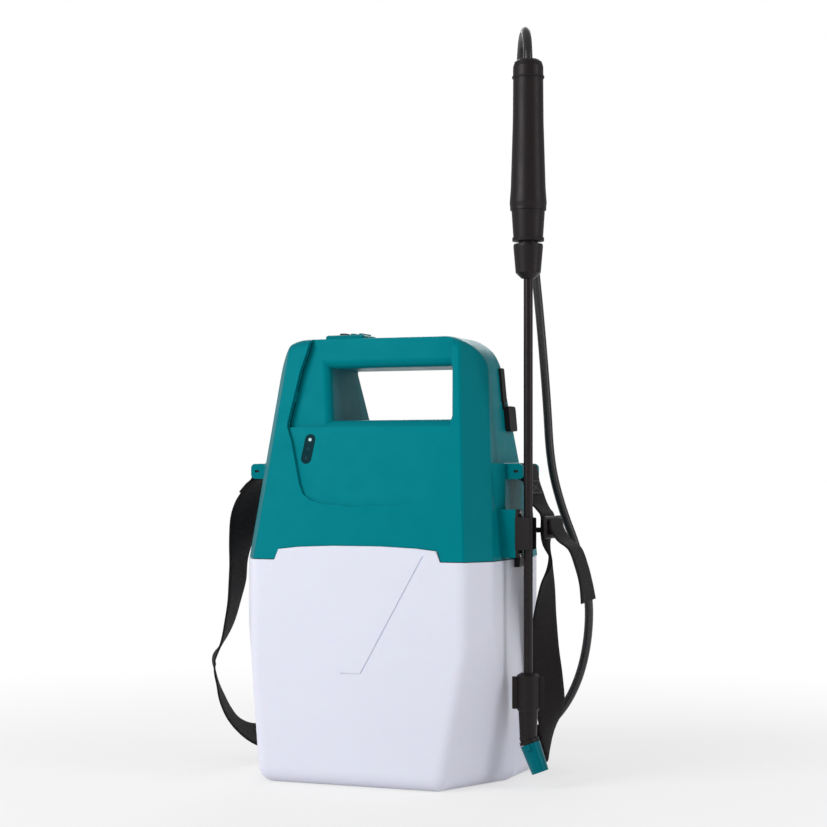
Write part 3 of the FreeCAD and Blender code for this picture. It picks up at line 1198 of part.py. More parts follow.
nozzle_cap = cut("nozzle_cap", fuse("cap_with_tab", cap_body, cap_tab),
                 tip_piece("cap_bore", "6.25", "6.25", "4", "23"),
                 tip_piece("cap_orifice", "1", "1", "4", "40"),
                 tip_piece("cap_dish", "1", "4.6", "28", "31.2"))

# ---------------------------------------------------------------- hose and tubes
def bent_tube(label, points, radius):
    """A tube of straight runs joined by tangent arcs; each arc takes 0.45 of its shorter run."""
    edges = []
    last = points[0]
    smallest = math.inf
    for before, corner, after in zip(points, points[1:], points[2:]):
        arriving = (corner - before)
        leaving = (after - corner)
        shorter = min(arriving.Length, leaving.Length)
        half_turn = arriving.getAngle(leaving) / 2
        reach = 0.45 * shorter
        smallest = min(smallest, reach / math.tan(half_turn))
        arriving.normalize()
        leaving.normalize()
        start, end = corner - arriving * reach, corner + leaving * reach
        inwards = (leaving - arriving).normalize()
        bow = reach / math.tan(half_turn) * (1 / math.cos(half_turn) - 1)
        edges.append(Part.LineSegment(last, start).toShape())
        edges.append(Part.Arc(start, corner + inwards * bow, end).toShape())
        last = end
    edges.append(Part.LineSegment(last, points[-1]).toShape())
    wire = Part.Wire(edges)
    circle = Part.Wire([Part.makeCircle(radius, points[0], points[1] - points[0])])
    shape = wire.makePipeShell([circle], True, True)
    expected = math.pi * radius ** 2 * wire.Length
    print(f"{label}: {wire.Length:.0f} mm long, smallest radius {smallest:.1f} mm, "
          f"volume over section times length {shape.Volume / expected:.4f}")
    return feature(label, shape)


GRIP_END = V(size("lance_x"), size("lance_y"), size("cap_top - 17"))
LOOP_STEP = 21.4
LOOP_TURN = 30.0
LOOP_WAY = V(-0.3903, 0.9207, 0)
hose_points = [GRIP_END]
for step in range(6):
    climb = math.radians(90 - LOOP_TURN * step)
    move = LOOP_WAY * math.cos(climb) + V(0, 0, 1) * math.sin(climb)
    hose_points.append(hose_points[-1] + move * LOOP_STEP)
HOSE_FALL = [
    (107, 59, 602),
    (107, 73, 530),
    (113, 88, 440),
    (118.5, 97, 345),
    (120.5, 101, 285),
    (130.5, 105, 243),
    (144.5, 108, 206),
    (155.5, 110, 165),
    (155, 112, 125),
    (145.5, 116, 85),
    (127.5, 121, 52),
    (100.5, 126, 27),
    (65, 129, 14),
    (22, 130.5, 11.5),
    (-16, 129, 17),
    (-46, 124, 36),
    (-63, 115, 68),
    (-70, 107, 105),
]
hose_points += [V(*point) for point in HOSE_FALL]
HOSE_END = V(size(OUTLET[0]), size(OUTLET[1]), size(f"{OUTLET[2]} - 26"))
hose_points += [HOSE_END - V(0, 0, 47), HOSE_END]
hose = bent_tube("hose", hose_points, size("hose_radius"))

delivery_points = [
    V(size(PUMP_X[0]), size("neck_y - 6"), size("seam_height + 35")),
    V(-84, size("neck_y - 6"), size("seam_height + 35")),
    V(-87, -8, size("seam_height + 34")),
    V(-85, 24, size("seam_height + 31")),
    V(-70, 46, size("seam_height + 27")),
    V(-70, 60, size("seam_height + 27")),
]
delivery_tube = bent_tube("delivery_tube", delivery_points, 3.5)


# ---------------------------------------------------------------- strap
def ribbon(label, stations, first=0, last=None):
    """A flat band through stations of a middle point and the direction of its width."""
    half_width, half_thick = size("strap_width") / 2, size("strap_thickness") / 2
    middles = [V(*middle) for middle, _ in stations]
    rings = []
    for n, (_, width) in enumerate(stations):
        along = middles[min(n + 1, len(middles) - 1)] - middles[max(n - 1, 0)]
        across = V(*width)
        across = (across - along * (across.dot(along) / along.dot(along))).normalize()
        through = along.cross(across).normalize()
        rings.append([middles[n] + across * (half_width * i) + through * (half_thick * j)
                      for i, j in ((-1, -1), (1, -1), (1, 1), (-1, 1))])
    rings = rings[first:last]
    faces = []
    for near, far in zip(rings, rings[1:]):
        for k in range(4):
            a, b, c, d = near[k], near[(k + 1) % 4], far[(k + 1) % 4], far[k]
            faces.append(Part.Face(Part.makePolygon([a, b, c, a])))
            faces.append(Part.Face(Part.makePolygon([a, c, d, a])))
    for end in (rings[0], rings[-1]):
        faces.append(Part.Face(Part.makePolygon([end[0], end[1], end[2], end[0]])))
        faces.append(Part.Face(Part.makePolygon([end[0], end[2], end[3], end[0]])))
    solid = Part.makeSolid(Part.makeShell(faces))
    if solid.Volume < 0:
        solid.reverse()
    return feature(label, solid)


HALF = size("tank_width / 2")
ANCHOR_X = size(BAR_X)
ANCHOR_Y = size("anchor_y")
ANCHOR_Z = size("anchor_height")
STRAP_Z = ANCHOR_Z - size("bar_radius + 0.45 + strap_thickness / 2")
ALONG_Y = (0, 1, 0)
right_stations = [
    ((ANCHOR_X, ANCHOR_Y, STRAP_Z), ALONG_Y),
    ((HALF + 14, ANCHOR_Y, STRAP_Z - 2.5), ALONG_Y),
    ((HALF + 17, ANCHOR_Y, ANCHOR_Z - 16), (0.1, 0.99, 0)),
    ((HALF + 20.5, ANCHOR_Y, ANCHOR_Z - 25), (0.1, 0.99, 0)),
    ((HALF + 26, ANCHOR_Y, ANCHOR_Z - 33), ALONG_Y),
    ((HALF + 30.5, ANCHOR_Y, ANCHOR_Z - 40), ALONG_Y),
    ((HALF + 31, ANCHOR_Y, ANCHOR_Z - 57), ALONG_Y),
    ((HALF + 30.5, 12, ANCHOR_Z - 74), (-0.38, 0.92, 0)),
    ((HALF + 25, 20, ANCHOR_Z - 93), (-0.1, 0.98, 0)),
    ((HALF + 20.5, 30, 161), (0.14, 0.98, 0)),
    ((HALF + 19.5, 35, 138), (0.2, 0.98, 0)),
    ((HALF + 20.5, 40, 115), (0.2, 0.98, 0)),
    ((HALF + 22, 45, 91), (0.2, 0.98, 0)),
    ((HALF + 22.5, 51, 66), (0.15, 0.95, 0.12)),
    ((HALF + 19, 61, 44), (0.05, 0.8, 0.5)),
    ((HALF + 10, 79, 28), (-0.1, 0.55, 0.82)),
    ((HALF - 6, 96, 21.5), (-0.1, 0.35, 0.93)),
]
low_stations = [
    ((86, 107.5, 19.5), (0, 0.3, 0.95)),
    ((51, 113, 19), (0, 0.25, 0.97)),
    ((10, 114, 19), (0, 0.28, 0.96)),
    ((-32, 112, 19.2), (0, 0.3, 0.95)),
    ((-72, 106, 19.5), (0, 0.3, 0.95)),
]
left_stations = [
    ((-ANCHOR_X, ANCHOR_Y, STRAP_Z), ALONG_Y),
    ((-HALF - 14, ANCHOR_Y, STRAP_Z - 2.5), ALONG_Y),
    ((-HALF - 20, ANCHOR_Y + 0.7, ANCHOR_Z - 13.5), (0.08, 1, 0)),
    ((-HALF - 27, ANCHOR_Y + 2.7, ANCHOR_Z - 21), (0.15, 0.99, 0)),
    ((-HALF - 33.5, ANCHOR_Y + 5.7, ANCHOR_Z - 31), (0.22, 0.97, 0)),
    ((-HALF - 38.5, ANCHOR_Y + 8.7, ANCHOR_Z - 44), (0.25, 0.97, 0)),
    ((-HALF - 42, 17, ANCHOR_Z - 62), (0.2, 0.98, 0)),
    ((-HALF - 46, 19, 187), (0.08, 1, 0)),
    ((-HALF - 46.5, 19, 160), ALONG_Y),
    ((-HALF - 47, 19, 140), (-0.05, 1, 0)),
    ((-HALF - 52, 18, 124), (-0.2, 0.98, 0)),
    ((-HALF - 61, 17, 112), (-0.36, 0.93, 0)),
    ((-HALF - 65, 17, 103), (-0.42, 0.9, 0)),
    ((-HALF - 64, 17, 93), (-0.42, 0.9, 0)),
    ((-HALF - 59, 19, 79), (-0.4, 0.91, 0)),
    ((-HALF - 51, 23, 63), (-0.25, 0.9, 0.3)),
    ((-HALF - 39, 34, 46), (-0.05, 0.75, 0.62)),
    ((-HALF - 23, 53, 33), (0.05, 0.55, 0.82)),
    ((-HALF - 4, 76, 25), (0.05, 0.42, 0.9)),
    ((-HALF + 17, 94, 21.5), (0.05, 0.35, 0.93)),
]
strap_stations = right_stations + low_stations + left_stations[::-1]
LOW_START = len(right_stations) - 1
LOW_END = LOW_START + len(low_stations) + 1
tail_stations = [
    ((HALF + 37.9, ANCHOR_Y, ANCHOR_Z - 42), ALONG_Y),
    ((HALF + 39.2, ANCHOR_Y, ANCHOR_Z - 50), ALONG_Y),
    ((HALF + 45, 5.5, ANCHOR_Z - 60), ALONG_Y),
    ((HALF + 55.4, 6, 209), ALONG_Y),
    ((HALF + 61.3, 6.5, 194), ALONG_Y),
    ((HALF + 65.1, 7, 179), ALONG_Y),
    ((HALF + 67.1, 8, 163), (0.05, 1, 0)),
]


def bar_loop(side, sign):
    """The webbing's sewn loop round the anchor bar."""
    start = (f"{sign}{BAR_X}", "anchor_y - strap_width / 2", "anchor_height")
    outer = rod(f"loop_out_{side}", "bar_radius + 0.3 + strap_thickness", "strap_width", start, "y")
    inner = rod(f"loop_in_{side}", "bar_radius + 0.3", "strap_width", start, "y")
    return cut(f"loop_{side}", outer, inner)


strap_right = fuse("strap_right_fall", ribbon("right_band", strap_stations, 0, LOW_START + 1),
                   bar_loop("right", ""))
strap_left = fuse("strap_left_fall", ribbon("left_band", strap_stations, LOW_END), bar_loop("left", "-"))
strap_right.Refine = strap_left.Refine = False
strap_low = ribbon("strap_low_run", strap_stations, LOW_START, LOW_END + 1)
strap_tail = ribbon("strap_tail", tail_stations)
BUCKLE_X = "tank_width / 2 + 33.2"
BUCKLE_Z = "anchor_height - 59.4"
buckle_block = box("buckle_block", (BUCKLE_X, f"{BUCKLE_X} + 3.2"),
                   ("anchor_y - strap_width / 2 - 4", "anchor_y + strap_width / 2 + 4"),
                   (BUCKLE_Z, f"{BUCKLE_Z} + 20"))
buckle_frame = soften("buckle_frame", buckle_block, "1.2", lambda edge: edge.Length > 18)
strap_adjuster = cut("strap_adjuster", buckle_frame, *(
    box(f"buckle_slot_{n}", (f"{BUCKLE_X} - 2", f"{BUCKLE_X} + 5"),
        ("anchor_y - strap_width / 2 - 1", "anchor_y + strap_width / 2 + 1"),
        (f"{BUCKLE_Z} + {rise}", f"{BUCKLE_Z} + {rise} + 4"))
    for n, rise in enumerate((4, 12))))

# ---------------------------------------------------------------- nodes
anchor_pins = group("anchor_pins", *anchor_bars)
NODES = [
    tank, head_front_shell, head_rear_shell, head_screws, anchor_pins,
    switch_bezel, switch_button, switch_body, gauge_window, gauge_lights, gauge_board,
    charge_strap, charge_flap, charging_jack, lance_clip, clip_screws, head_latch, hose_hook,
    outlet_fitting, outlet_nut, pump_deck, deck_seal, deck_screws, suction_tube, suction_filter,
    pump_head, pump_motor, motor_bracket, pressure_switch, control_board, battery_cells, battery_holder,
    delivery_tube, filler_cap, cap_gasket, cap_vent, filler_strainer,
    lance_tube, lance_nut, tube_ring, collar_ring, valve_body, trigger_pin, trigger, valve_stem,
    valve_spring, grip, grip_ring, grip_cap, grip_pipe, nozzle_body, nozzle_elbow, nozzle_ring, nozzle_cap,
    hose, strap_right, strap_left, strap_low, strap_tail, strap_adjuster,
]

doc.recompute()
for item in doc.Objects:
    if "Invalid" in item.State or "Error" in item.State:
        raise RuntimeError(f"{item.Label} failed: {item.State}")
os.makedirs("parts", exist_ok=True)
for node in NODES:
    if node.Shape.isNull() or not node.Shape.isValid():
        raise RuntimeError(f"{node.Label} has no valid shape")
    node.Shape.exportStep(f"parts/{node.Label}.step")
print(len(NODES), "nodes written")
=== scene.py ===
import bmesh
import bpy
import json
import math
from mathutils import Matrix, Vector


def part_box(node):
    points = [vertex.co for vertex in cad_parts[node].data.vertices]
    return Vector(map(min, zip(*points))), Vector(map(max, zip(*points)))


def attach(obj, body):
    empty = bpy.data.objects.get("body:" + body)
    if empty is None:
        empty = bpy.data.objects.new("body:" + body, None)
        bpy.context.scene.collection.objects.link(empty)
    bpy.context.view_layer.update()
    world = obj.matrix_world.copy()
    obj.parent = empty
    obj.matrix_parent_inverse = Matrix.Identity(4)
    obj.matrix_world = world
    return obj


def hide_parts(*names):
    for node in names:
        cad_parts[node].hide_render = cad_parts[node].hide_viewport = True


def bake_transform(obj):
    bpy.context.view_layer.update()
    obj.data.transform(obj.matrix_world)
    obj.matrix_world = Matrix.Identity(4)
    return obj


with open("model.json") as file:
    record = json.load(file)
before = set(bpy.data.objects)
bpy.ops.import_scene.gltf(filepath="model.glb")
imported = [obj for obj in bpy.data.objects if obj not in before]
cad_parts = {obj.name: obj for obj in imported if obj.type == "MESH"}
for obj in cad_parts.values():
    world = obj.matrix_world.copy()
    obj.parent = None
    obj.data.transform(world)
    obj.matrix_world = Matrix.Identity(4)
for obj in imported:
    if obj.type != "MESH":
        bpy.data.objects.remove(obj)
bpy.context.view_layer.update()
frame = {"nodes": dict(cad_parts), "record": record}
NODES = frame["nodes"]
MM = 0.001
HOSE_RADIUS = 4 * MM
WEBBING_WIDTH = 0.038
WEBBING_THICKNESS = 0.0017

# ---------------------------------------------------------------- camera
CAMERA_TURN = math.radians(22)
CAMERA_DISTANCE = 1.78
CAMERA_HEIGHT = 0.2786


def make_camera():
    data = bpy.data.cameras.new("camera")
    data.sensor_width = 36.0
    data.lens = 84.9
    data.shift_x = 0.0276
    data.shift_y = 0.0683
    camera = bpy.data.objects.new("camera", data)
    bpy.context.collection.objects.link(camera)
    camera.location = (CAMERA_DISTANCE * math.sin(CAMERA_TURN), -CAMERA_DISTANCE * math.cos(CAMERA_TURN),
                       CAMERA_HEIGHT)
    camera.rotation_euler = (math.radians(90), 0, CAMERA_TURN)
    bpy.context.scene.camera = camera


make_camera()

# ---------------------------------------------------------------- hose
# Millimetres, from the grip's top over the loop, down, round behind the tank and up to the outlet.
HOSE_ROUTE = [
    (139.4, -24, 620), (139.4, -24, 641.4), (135.2, -14.1, 659.9), (128.0, 2.9, 670.6), (119.6, 22.6, 670.6),
    (112.4, 39.7, 659.9), (108.2, 49.5, 641.4), (107, 59, 602), (107, 73, 530), (113, 88, 440),
    (118.5, 97, 345), (120.5, 101, 285), (130.5, 105, 243), (144.5, 108, 206), (155.5, 110, 165),
    (155, 112, 125), (145.5, 116, 85), (127.5, 121, 52), (100.5, 126, 27), (65, 129, 14), (22, 130.5, 11.5),
    (-16, 129, 17), (-46, 124, 36), (-63, 115, 68), (-70, 107, 105), (-70, 101, 153), (-70, 101, 200),
]


def spline_points(name, route):
    """The points of a smooth NURBS line that has the route as its control points."""
    curve = bpy.data.curves.new(name, "CURVE")
    curve.dimensions = "3D"
    curve.resolution_u = 12
    spline = curve.splines.new("NURBS")
    spline.points.add(len(route) - 1)
    for point, place in zip(spline.points, route):
        point.co = (*(Vector(place) * MM), 1)
    spline.order_u = 3
    spline.use_endpoint_u = True
    line = bpy.data.objects.new(name, curve)
    bpy.context.collection.objects.link(line)
    bpy.context.view_layer.update()
    mesh = bpy.data.meshes.new_from_object(line)
    points = [vertex.co.copy() for vertex in mesh.vertices]
    bpy.data.objects.remove(line)
    bpy.data.meshes.remove(mesh)
    if (points[0] - Vector(route[0]) * MM).length > (points[-1] - Vector(route[0]) * MM).length:
        points.reverse()
    return points


def link_mesh(name, build, smooth=True):
    """An object in the scene from a finished bmesh."""
    mesh = bpy.data.meshes.new(name)
    build.to_mesh(mesh)
    build.free()
    piece = bpy.data.objects.new(name, mesh)
    bpy.context.collection.objects.link(piece)
    for face in mesh.polygons:
        face.use_smooth = smooth
    return piece


def tube(name, points, radius, sides):
    """A round tube along points, with u round it and v along it in metres."""
    build = bmesh.new()
    uv = build.loops.layers.uv.new("uv")
    normal = Vector((1, 0, 0))
    rings, travelled, run = [], [], 0.0
    for n, point in enumerate(points):
        along = (points[min(n + 1, len(points) - 1)] - points[max(n - 1, 0)]).normalized()
        normal = (normal - along * normal.dot(along)).normalized()
        side = along.cross(normal)
        ring = []
        for k in range(sides):
            angle = 2 * math.pi * k / sides
            reach = normal * (radius * math.cos(angle)) + side * (radius * math.sin(angle))
            ring.append(build.verts.new(point + reach))
        rings.append(ring)
        if n:
            run += (point - points[n - 1]).length
        travelled.append(run)
    for n in range(len(rings) - 1):
        for k in range(sides):
            corners = (rings[n][k], rings[n][(k + 1) % sides], rings[n + 1][(k + 1) % sides], rings[n + 1][k])
            face = build.faces.new(corners)
            for loop, place in zip(face.loops, ((k, n), (k + 1, n), (k + 1, n + 1), (k, n + 1))):
                loop[uv].uv = (place[0] / sides, travelled[place[1]])
    build.faces.new(list(reversed(rings[0])))
    build.faces.new(rings[-1])
    build.normal_update()
    return link_mesh(name, build), run


hose_line = spline_points("hose_line", HOSE_ROUTE)
hose, hose_length = tube("spray_hose", hose_line, HOSE_RADIUS, 24)


# ---------------------------------------------------------------- materials
def tool(tree, kind, **values):
    """A new node with some of its settings, or of its inputs, set."""
    node = tree.nodes.new(kind)
    for name, value in values.items():
        if hasattr(node, name):
            setattr(node, name, value)
        else:
            node.inputs[name.replace("_", " ")].default_value = value
    return node


class Look:
    """A Principled material built up from noise, in object space or along a piece's own UV."""

    def __init__(self, name, colour, roughness, coords="Object", **sockets):
        self.material = bpy.data.materials.new(name)
        self.material.use_nodes = True
        self.tree = self.material.node_tree
        self.shader = self.tree.nodes["Principled BSDF"]
        self.place = tool(self.tree, "ShaderNodeTexCoord").outputs[coords]
        self.colour = tool(self.tree, "ShaderNodeRGB").outputs[0]
        self.colour.default_value = (*colour, 1)
        self.rough = None
        self.shader.inputs["Roughness"].default_value = roughness
        self.roughness = roughness
        self.height = None
        for socket, value in sockets.items():
            self.shader.inputs[socket.replace("_", " ")].default_value = value

    def link(self, a, b):
        self.tree.links.new(a, b)

    def noise(self, scale, detail, roughness=0.55, stretch=None):
        node = tool(self.tree, "ShaderNodeTexNoise", Scale=scale, Detail=detail, Roughness=roughness)
        place = self.place
        if stretch:
            mapping = tool(self.tree, "ShaderNodeMapping")
            mapping.inputs["Scale"].default_value = stretch
            self.link(place, mapping.inputs["Vector"])
            place = mapping.outputs["Vector"]
        self.link(place, node.inputs["Vector"])
        return node.outputs["Fac"]

    def ramp(self, value, low, high, out_low=0.0, out_high=1.0):
        node = tool(self.tree, "ShaderNodeMapRange", From_Min=low, From_Max=high, To_Min=out_low,
                    To_Max=out_high)
        self.link(value, node.inputs["Value"])
        return node.outputs["Result"]

    def math(self, operation, a, b=None):
        node = tool(self.tree, "ShaderNodeMath", operation=operation)
        for socket, value in zip(node.inputs, (a, b)):
            if value is None:
                continue
            if isinstance(value, (int, float)):
                socket.default_value = value
            else:
                self.link(value, socket)
        return node.outputs[0]

    def tint(self, factor, colour):
        """Mix a second colour in by a factor."""
        node = tool(self.tree, "ShaderNodeMix", data_type="RGBA")
        self.link(factor, node.inputs["Factor"])
        self.link(self.colour, node.inputs["A"])
        node.inputs["B"].default_value = (*colour, 1)
        self.colour = node.outputs["Result"]

    def vary_rough(self, value, spread):
        """Roughness that strays either side of its own value."""
        self.rough = self.ramp(value, 0.3, 0.7, self.roughness - spread, self.roughness + spread)

    def bump(self, value, strength, depth):
        """Relief on top of any relief that is there already."""
        node = tool(self.tree, "ShaderNodeBump", Strength=strength, Distance=depth)
        self.link(value, node.inputs["Height"])
        if self.height is not None:
            self.link(self.height, node.inputs["Normal"])
        self.height = node.outputs["Normal"]

    def edges(self, size_mm, colour, amount):
        """Lighter, rubbed edges found by comparing bevelled and plain normals."""
        bevel = tool(self.tree, "ShaderNodeBevel", samples=4)
        bevel.inputs["Radius"].default_value = size_mm * MM
        geometry = tool(self.tree, "ShaderNodeNewGeometry")
        dot = tool(self.tree, "ShaderNodeVectorMath", operation="DOT_PRODUCT")
        self.link(bevel.outputs[0], dot.inputs[0])
        self.link(geometry.outputs["Normal"], dot.inputs[1])
        worn = self.ramp(dot.outputs["Value"], 0.995, 0.86, 0, amount)
        patchy = self.ramp(self.noise(90, 4), 0.4, 0.6)
        self.tint(self.math("MULTIPLY", worn, patchy), colour)
        return self

    def done(self):
        self.link(self.colour, self.shader.inputs["Base Color"])
        if self.rough is not None:
            self.link(self.rough, self.shader.inputs["Roughness"])
        if self.height is not None:
            self.link(self.height, self.shader.inputs["Normal"])
        return self.material


def moulded(name, colour, roughness, grain, grain_strength, shade, **sockets):
    """Moulded plastic: fine spark-eroded grain, cloudy colour and uneven gloss."""
    look = Look(name, colour, roughness, **sockets)
    darker = tuple(c * shade for c in colour)
    look.tint(look.ramp(look.noise(14, 3), 0.35, 0.7, 0, 0.7), darker)
    look.vary_rough(look.noise(60, 4), 0.06)
    look.bump(look.noise(grain, 2, 0.6), grain_strength, 0.0002)
    look.bump(look.noise(35, 2), 0.12, 0.001)
    return look


# Colour, roughness, scale and strength of the grain, and how dark the colour's clouds are.
PLAIN_PLASTICS = {
    "grey_plastic": ((0.075, 0.08, 0.085), 0.45, 1200, 0.25, 0.8),
    "strainer_white": ((0.62, 0.62, 0.62), 0.4, 900, 0.15, 0.93),
    "cell_wrap": ((0.015, 0.075, 0.33), 0.25, 300, 0.05, 0.8),
    "board_green": ((0.006, 0.075, 0.02), 0.3, 500, 0.1, 0.6),
    "clear_hose": ((0.55, 0.58, 0.58), 0.25, 300, 0.04, 0.85),
}
# The same, then the specular level and tint, and the rubbed edges' size in millimetres, colour and amount.
WORN_PLASTICS = {
    "teal_plastic": ((0.0, 0.19, 0.225), 0.40, 1600, 0.22, 0.93, 0.25, (0.0, 0.55, 0.62, 1),
                     (0.8, (0.0, 0.36, 0.40), 0.2)),
    "teal_tip": ((0.0, 0.13, 0.165), 0.3, 900, 0.08, 0.85, 0.35, (0.1, 0.6, 0.65, 1),
                 (0.5, (0.02, 0.30, 0.33), 0.3)),
    "black_plastic": ((0.0125, 0.0085, 0.0092), 0.42, 1300, 0.3, 0.7, 0.22, (1, 1, 1, 1),
                      (0.5, (0.04, 0.036, 0.038), 0.3)),
    "black_rubber": ((0.0125, 0.0105, 0.0112), 0.55, 1800, 0.3, 0.75, 0.2, (1, 1, 1, 1),
                     (0.5, (0.04, 0.036, 0.04), 0.3)),
}
LOOKS = {name: moulded(name, *values).done() for name, values in PLAIN_PLASTICS.items()}
for name, (*values, shine, shine_tint, rubbed) in WORN_PLASTICS.items():
    worn = moulded(name, *values, Specular_IOR_Level=shine, Specular_Tint=shine_tint)
    LOOKS[name] = worn.edges(*rubbed).done()

LOOKS["dark_window"] = moulded("dark_window", (0.002, 0.034, 0.045), 0.55, 300, 0.02, 0.7,
                               Specular_IOR_Level=0.04).done()
# Painted glow: the uppermost gauge light is painted pale above a height, as if it were lit.
lens = moulded("pale_lens", (0.004, 0.045, 0.06), 0.4, 300, 0.02, 0.8, Specular_IOR_Level=0.05)
lens_height = tool(lens.tree, "ShaderNodeSeparateXYZ")
lens.link(lens.place, lens_height.inputs[0])
lens_low, lens_high = (corner.z for corner in map(Vector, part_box("gauge_lights")))
painted_glow_from = lens_low + (lens_high - lens_low) * 0.7
lens.tint(lens.ramp(lens_height.outputs[2], painted_glow_from, painted_glow_from + 0.5 * MM), (0.55, 0.78, 0.78))
LOOKS["pale_lens"] = lens.done()

tank_look = Look("tank_plastic", (0.80, 0.795, 0.91), 0.40, Specular_IOR_Level=0.3, Subsurface_Weight=0.12,
                 Subsurface_Scale=0.01)
tank_cloud = tank_look.ramp(tank_look.noise(9, 4, 0.6), 0.35, 0.75, 0, 0.6)
tank_look.tint(tank_cloud, (0.775, 0.77, 0.88))
tank_bands = tank_look.ramp(tank_look.noise(5, 2, stretch=(1, 1, 6)), 0.45, 0.8, 0, 0.35)
tank_look.tint(tank_bands, (0.82, 0.815, 0.925))
tank_look.vary_rough(tank_look.noise(30, 5), 0.07)
tank_look.bump(tank_look.noise(420, 3), 0.10, 0.0004)
tank_look.bump(tank_look.noise(22, 2), 0.16, 0.0015)
LOOKS["tank_plastic"] = tank_look.done()

fibre = Look("tube_fibre", (0.0125, 0.0085, 0.009), 0.3, Specular_IOR_Level=0.22)
fibre.tint(fibre.ramp(fibre.noise(500, 2, stretch=(1, 1, 0.02)), 0.5, 0.8, 0, 0.6), (0.022, 0.017, 0.018))
fibre.vary_rough(fibre.noise(120, 3), 0.06)
fibre.bump(fibre.noise(900, 2, stretch=(1, 1, 0.03)), 0.2, 0.0002)
LOOKS["tube_fibre"] = fibre.done()

steel = Look("steel", (0.56, 0.56, 0.58), 0.28, Metallic=1.0)
steel.tint(steel.ramp(steel.noise(80, 4), 0.45, 0.75, 0, 0.7), (0.36, 0.35, 0.35))
steel.vary_rough(steel.noise(200, 4), 0.1)
steel.bump(steel.noise(1500, 2, stretch=(0.05, 1, 1)), 0.2, 0.0001)
LOOKS["steel"] = steel.done()

hose_look = Look("hose_black", (0.0135, 0.011, 0.012), 0.3, "UV", Specular_IOR_Level=0.5)
hose_streaks = hose_look.ramp(hose_look.noise(3, 4, stretch=(1, 40, 1)), 0.45, 0.8, 0, 0.6)
hose_look.tint(hose_streaks, (0.03, 0.028, 0.032))
hose_look.vary_rough(hose_look.noise(6, 4, stretch=(1, 30, 1)), 0.08)
hose_look.bump(hose_look.noise(12, 3, stretch=(2, 160, 1)), 0.15, 0.0003)
LOOKS["hose_black"] = hose_look.done()


CHEVRONS = 4.0
RIB_PITCH = 0.0022
WARP_THREADS = 24


def webbing_look():
    """Woven webbing: twill ribs across and warp threads along, from the strip's own u and v."""
    look = Look("webbing", (0.0075, 0.0058, 0.006), 0.75, "UV", Sheen_Weight=0.04, Sheen_Roughness=0.5,
                Specular_IOR_Level=0.12)
    split = tool(look.tree, "ShaderNodeSeparateXYZ")
    look.link(look.place, split.inputs[0])
    across, along = split.outputs[0], split.outputs[1]
    chevron = look.math("PINGPONG", look.math("MULTIPLY", across, CHEVRONS), 1.0)
    ribs = look.math("SINE", look.math("ADD", look.math("MULTIPLY", along, 2 * math.pi / RIB_PITCH),
                                       look.math("MULTIPLY", chevron, 9.0)))
    warp = look.math("SINE", look.math("MULTIPLY", across, 2 * math.pi * WARP_THREADS))
    weave = look.math("ADD", look.math("MULTIPLY", ribs, 0.35), look.math("MULTIPLY", warp, 0.25))
    look.tint(look.ramp(weave, -0.6, 0.6, 0, 0.7), (0.015, 0.0125, 0.013))
    look.tint(look.ramp(look.noise(2, 5, stretch=(1, 30, 1)), 0.5, 0.8, 0, 0.5), (0.017, 0.0145, 0.015))
    look.bump(weave, 0.6, 0.0005)
    look.bump(look.noise(8, 5, stretch=(1, 60, 1)), 0.2, 0.0005)
    return look.done()


LOOKS["webbing"] = webbing_look()
thread = Look("thread", (0.04, 0.037, 0.04), 0.6, Sheen_Weight=0.3)
thread.tint(thread.ramp(thread.noise(900, 2), 0.4, 0.6), (0.02, 0.018, 0.02))
thread.bump(thread.noise(3000, 2), 0.3, 0.0001)
LOOKS["thread"] = thread.done()

for part in frame["record"]["subparts"]:
    node = NODES[part["node"]]
    for slot in node.material_slots:
        slot.material = LOOKS[part["material_slot"]]
    if not node.material_slots:
        node.data.materials.append(LOOKS[part["material_slot"]])

hose.data.materials.append(LOOKS["hose_black"])
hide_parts("hose")
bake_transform(hose)


# ---------------------------------------------------------------- strap
# The right anchor bar's middle and the radius of the webbing's loop round it, in millimetres.
BAR = Vector((126.3, 5.3, 277.4))
LOOP_RADIUS = 6.2
ALONG_Y = (0, 1, 0)


def bar_loop(sign, angles):
    """Stations on the webbing's loop round an anchor bar, at angles from its outer side, over its top."""
    return [((sign * (BAR.x + LOOP_RADIUS * math.cos(math.radians(angle))), BAR.y,
              BAR.z + LOOP_RADIUS * math.sin(math.radians(angle))), ALONG_Y) for angle in angles]


# Stations of the webbing's middle, in millimetres, each with the way its width lies.
RIGHT_FALL = [
    ((137.6, 5.3, 257.5), ALONG_Y), ((136.2, 5.3, 262.1), ALONG_Y), ((134.0, 5.3, 268.5), ALONG_Y),
    *bar_loop(1, (0, 45, 90, 135, 180, 225, 265)), ((131.5, 5.3, 268.6), ALONG_Y),
    ((134.5, 5.3, 261.4), (0.1, 0.99, 0)), ((138, 5.3, 252.4), (0.1, 0.99, 0)),
    ((143.5, 5.3, 244.4), ALONG_Y), ((148, 5.3, 237.4), ALONG_Y), ((148.5, 5.3, 220.4), ALONG_Y),
    ((148, 12, 203.4), (-0.38, 0.92, 0)), ((142.5, 20, 184.4), (-0.1, 0.98, 0)),
    ((138, 30, 161), (0.14, 0.98, 0)), ((135.5, 35, 138), (0.3, 0.95, 0)),
    ((134.5, 40, 115), (0.4, 0.92, 0)), ((135.5, 45, 91), (0.45, 0.89, 0)),
    ((136.5, 51, 66), (0.42, 0.88, 0.2)), ((134.5, 61, 44), (0.28, 0.76, 0.58)),
    ((127.5, 79, 28), (-0.05, 0.55, 0.82)), ((111.5, 96, 21.5), (-0.1, 0.35, 0.93)),
]
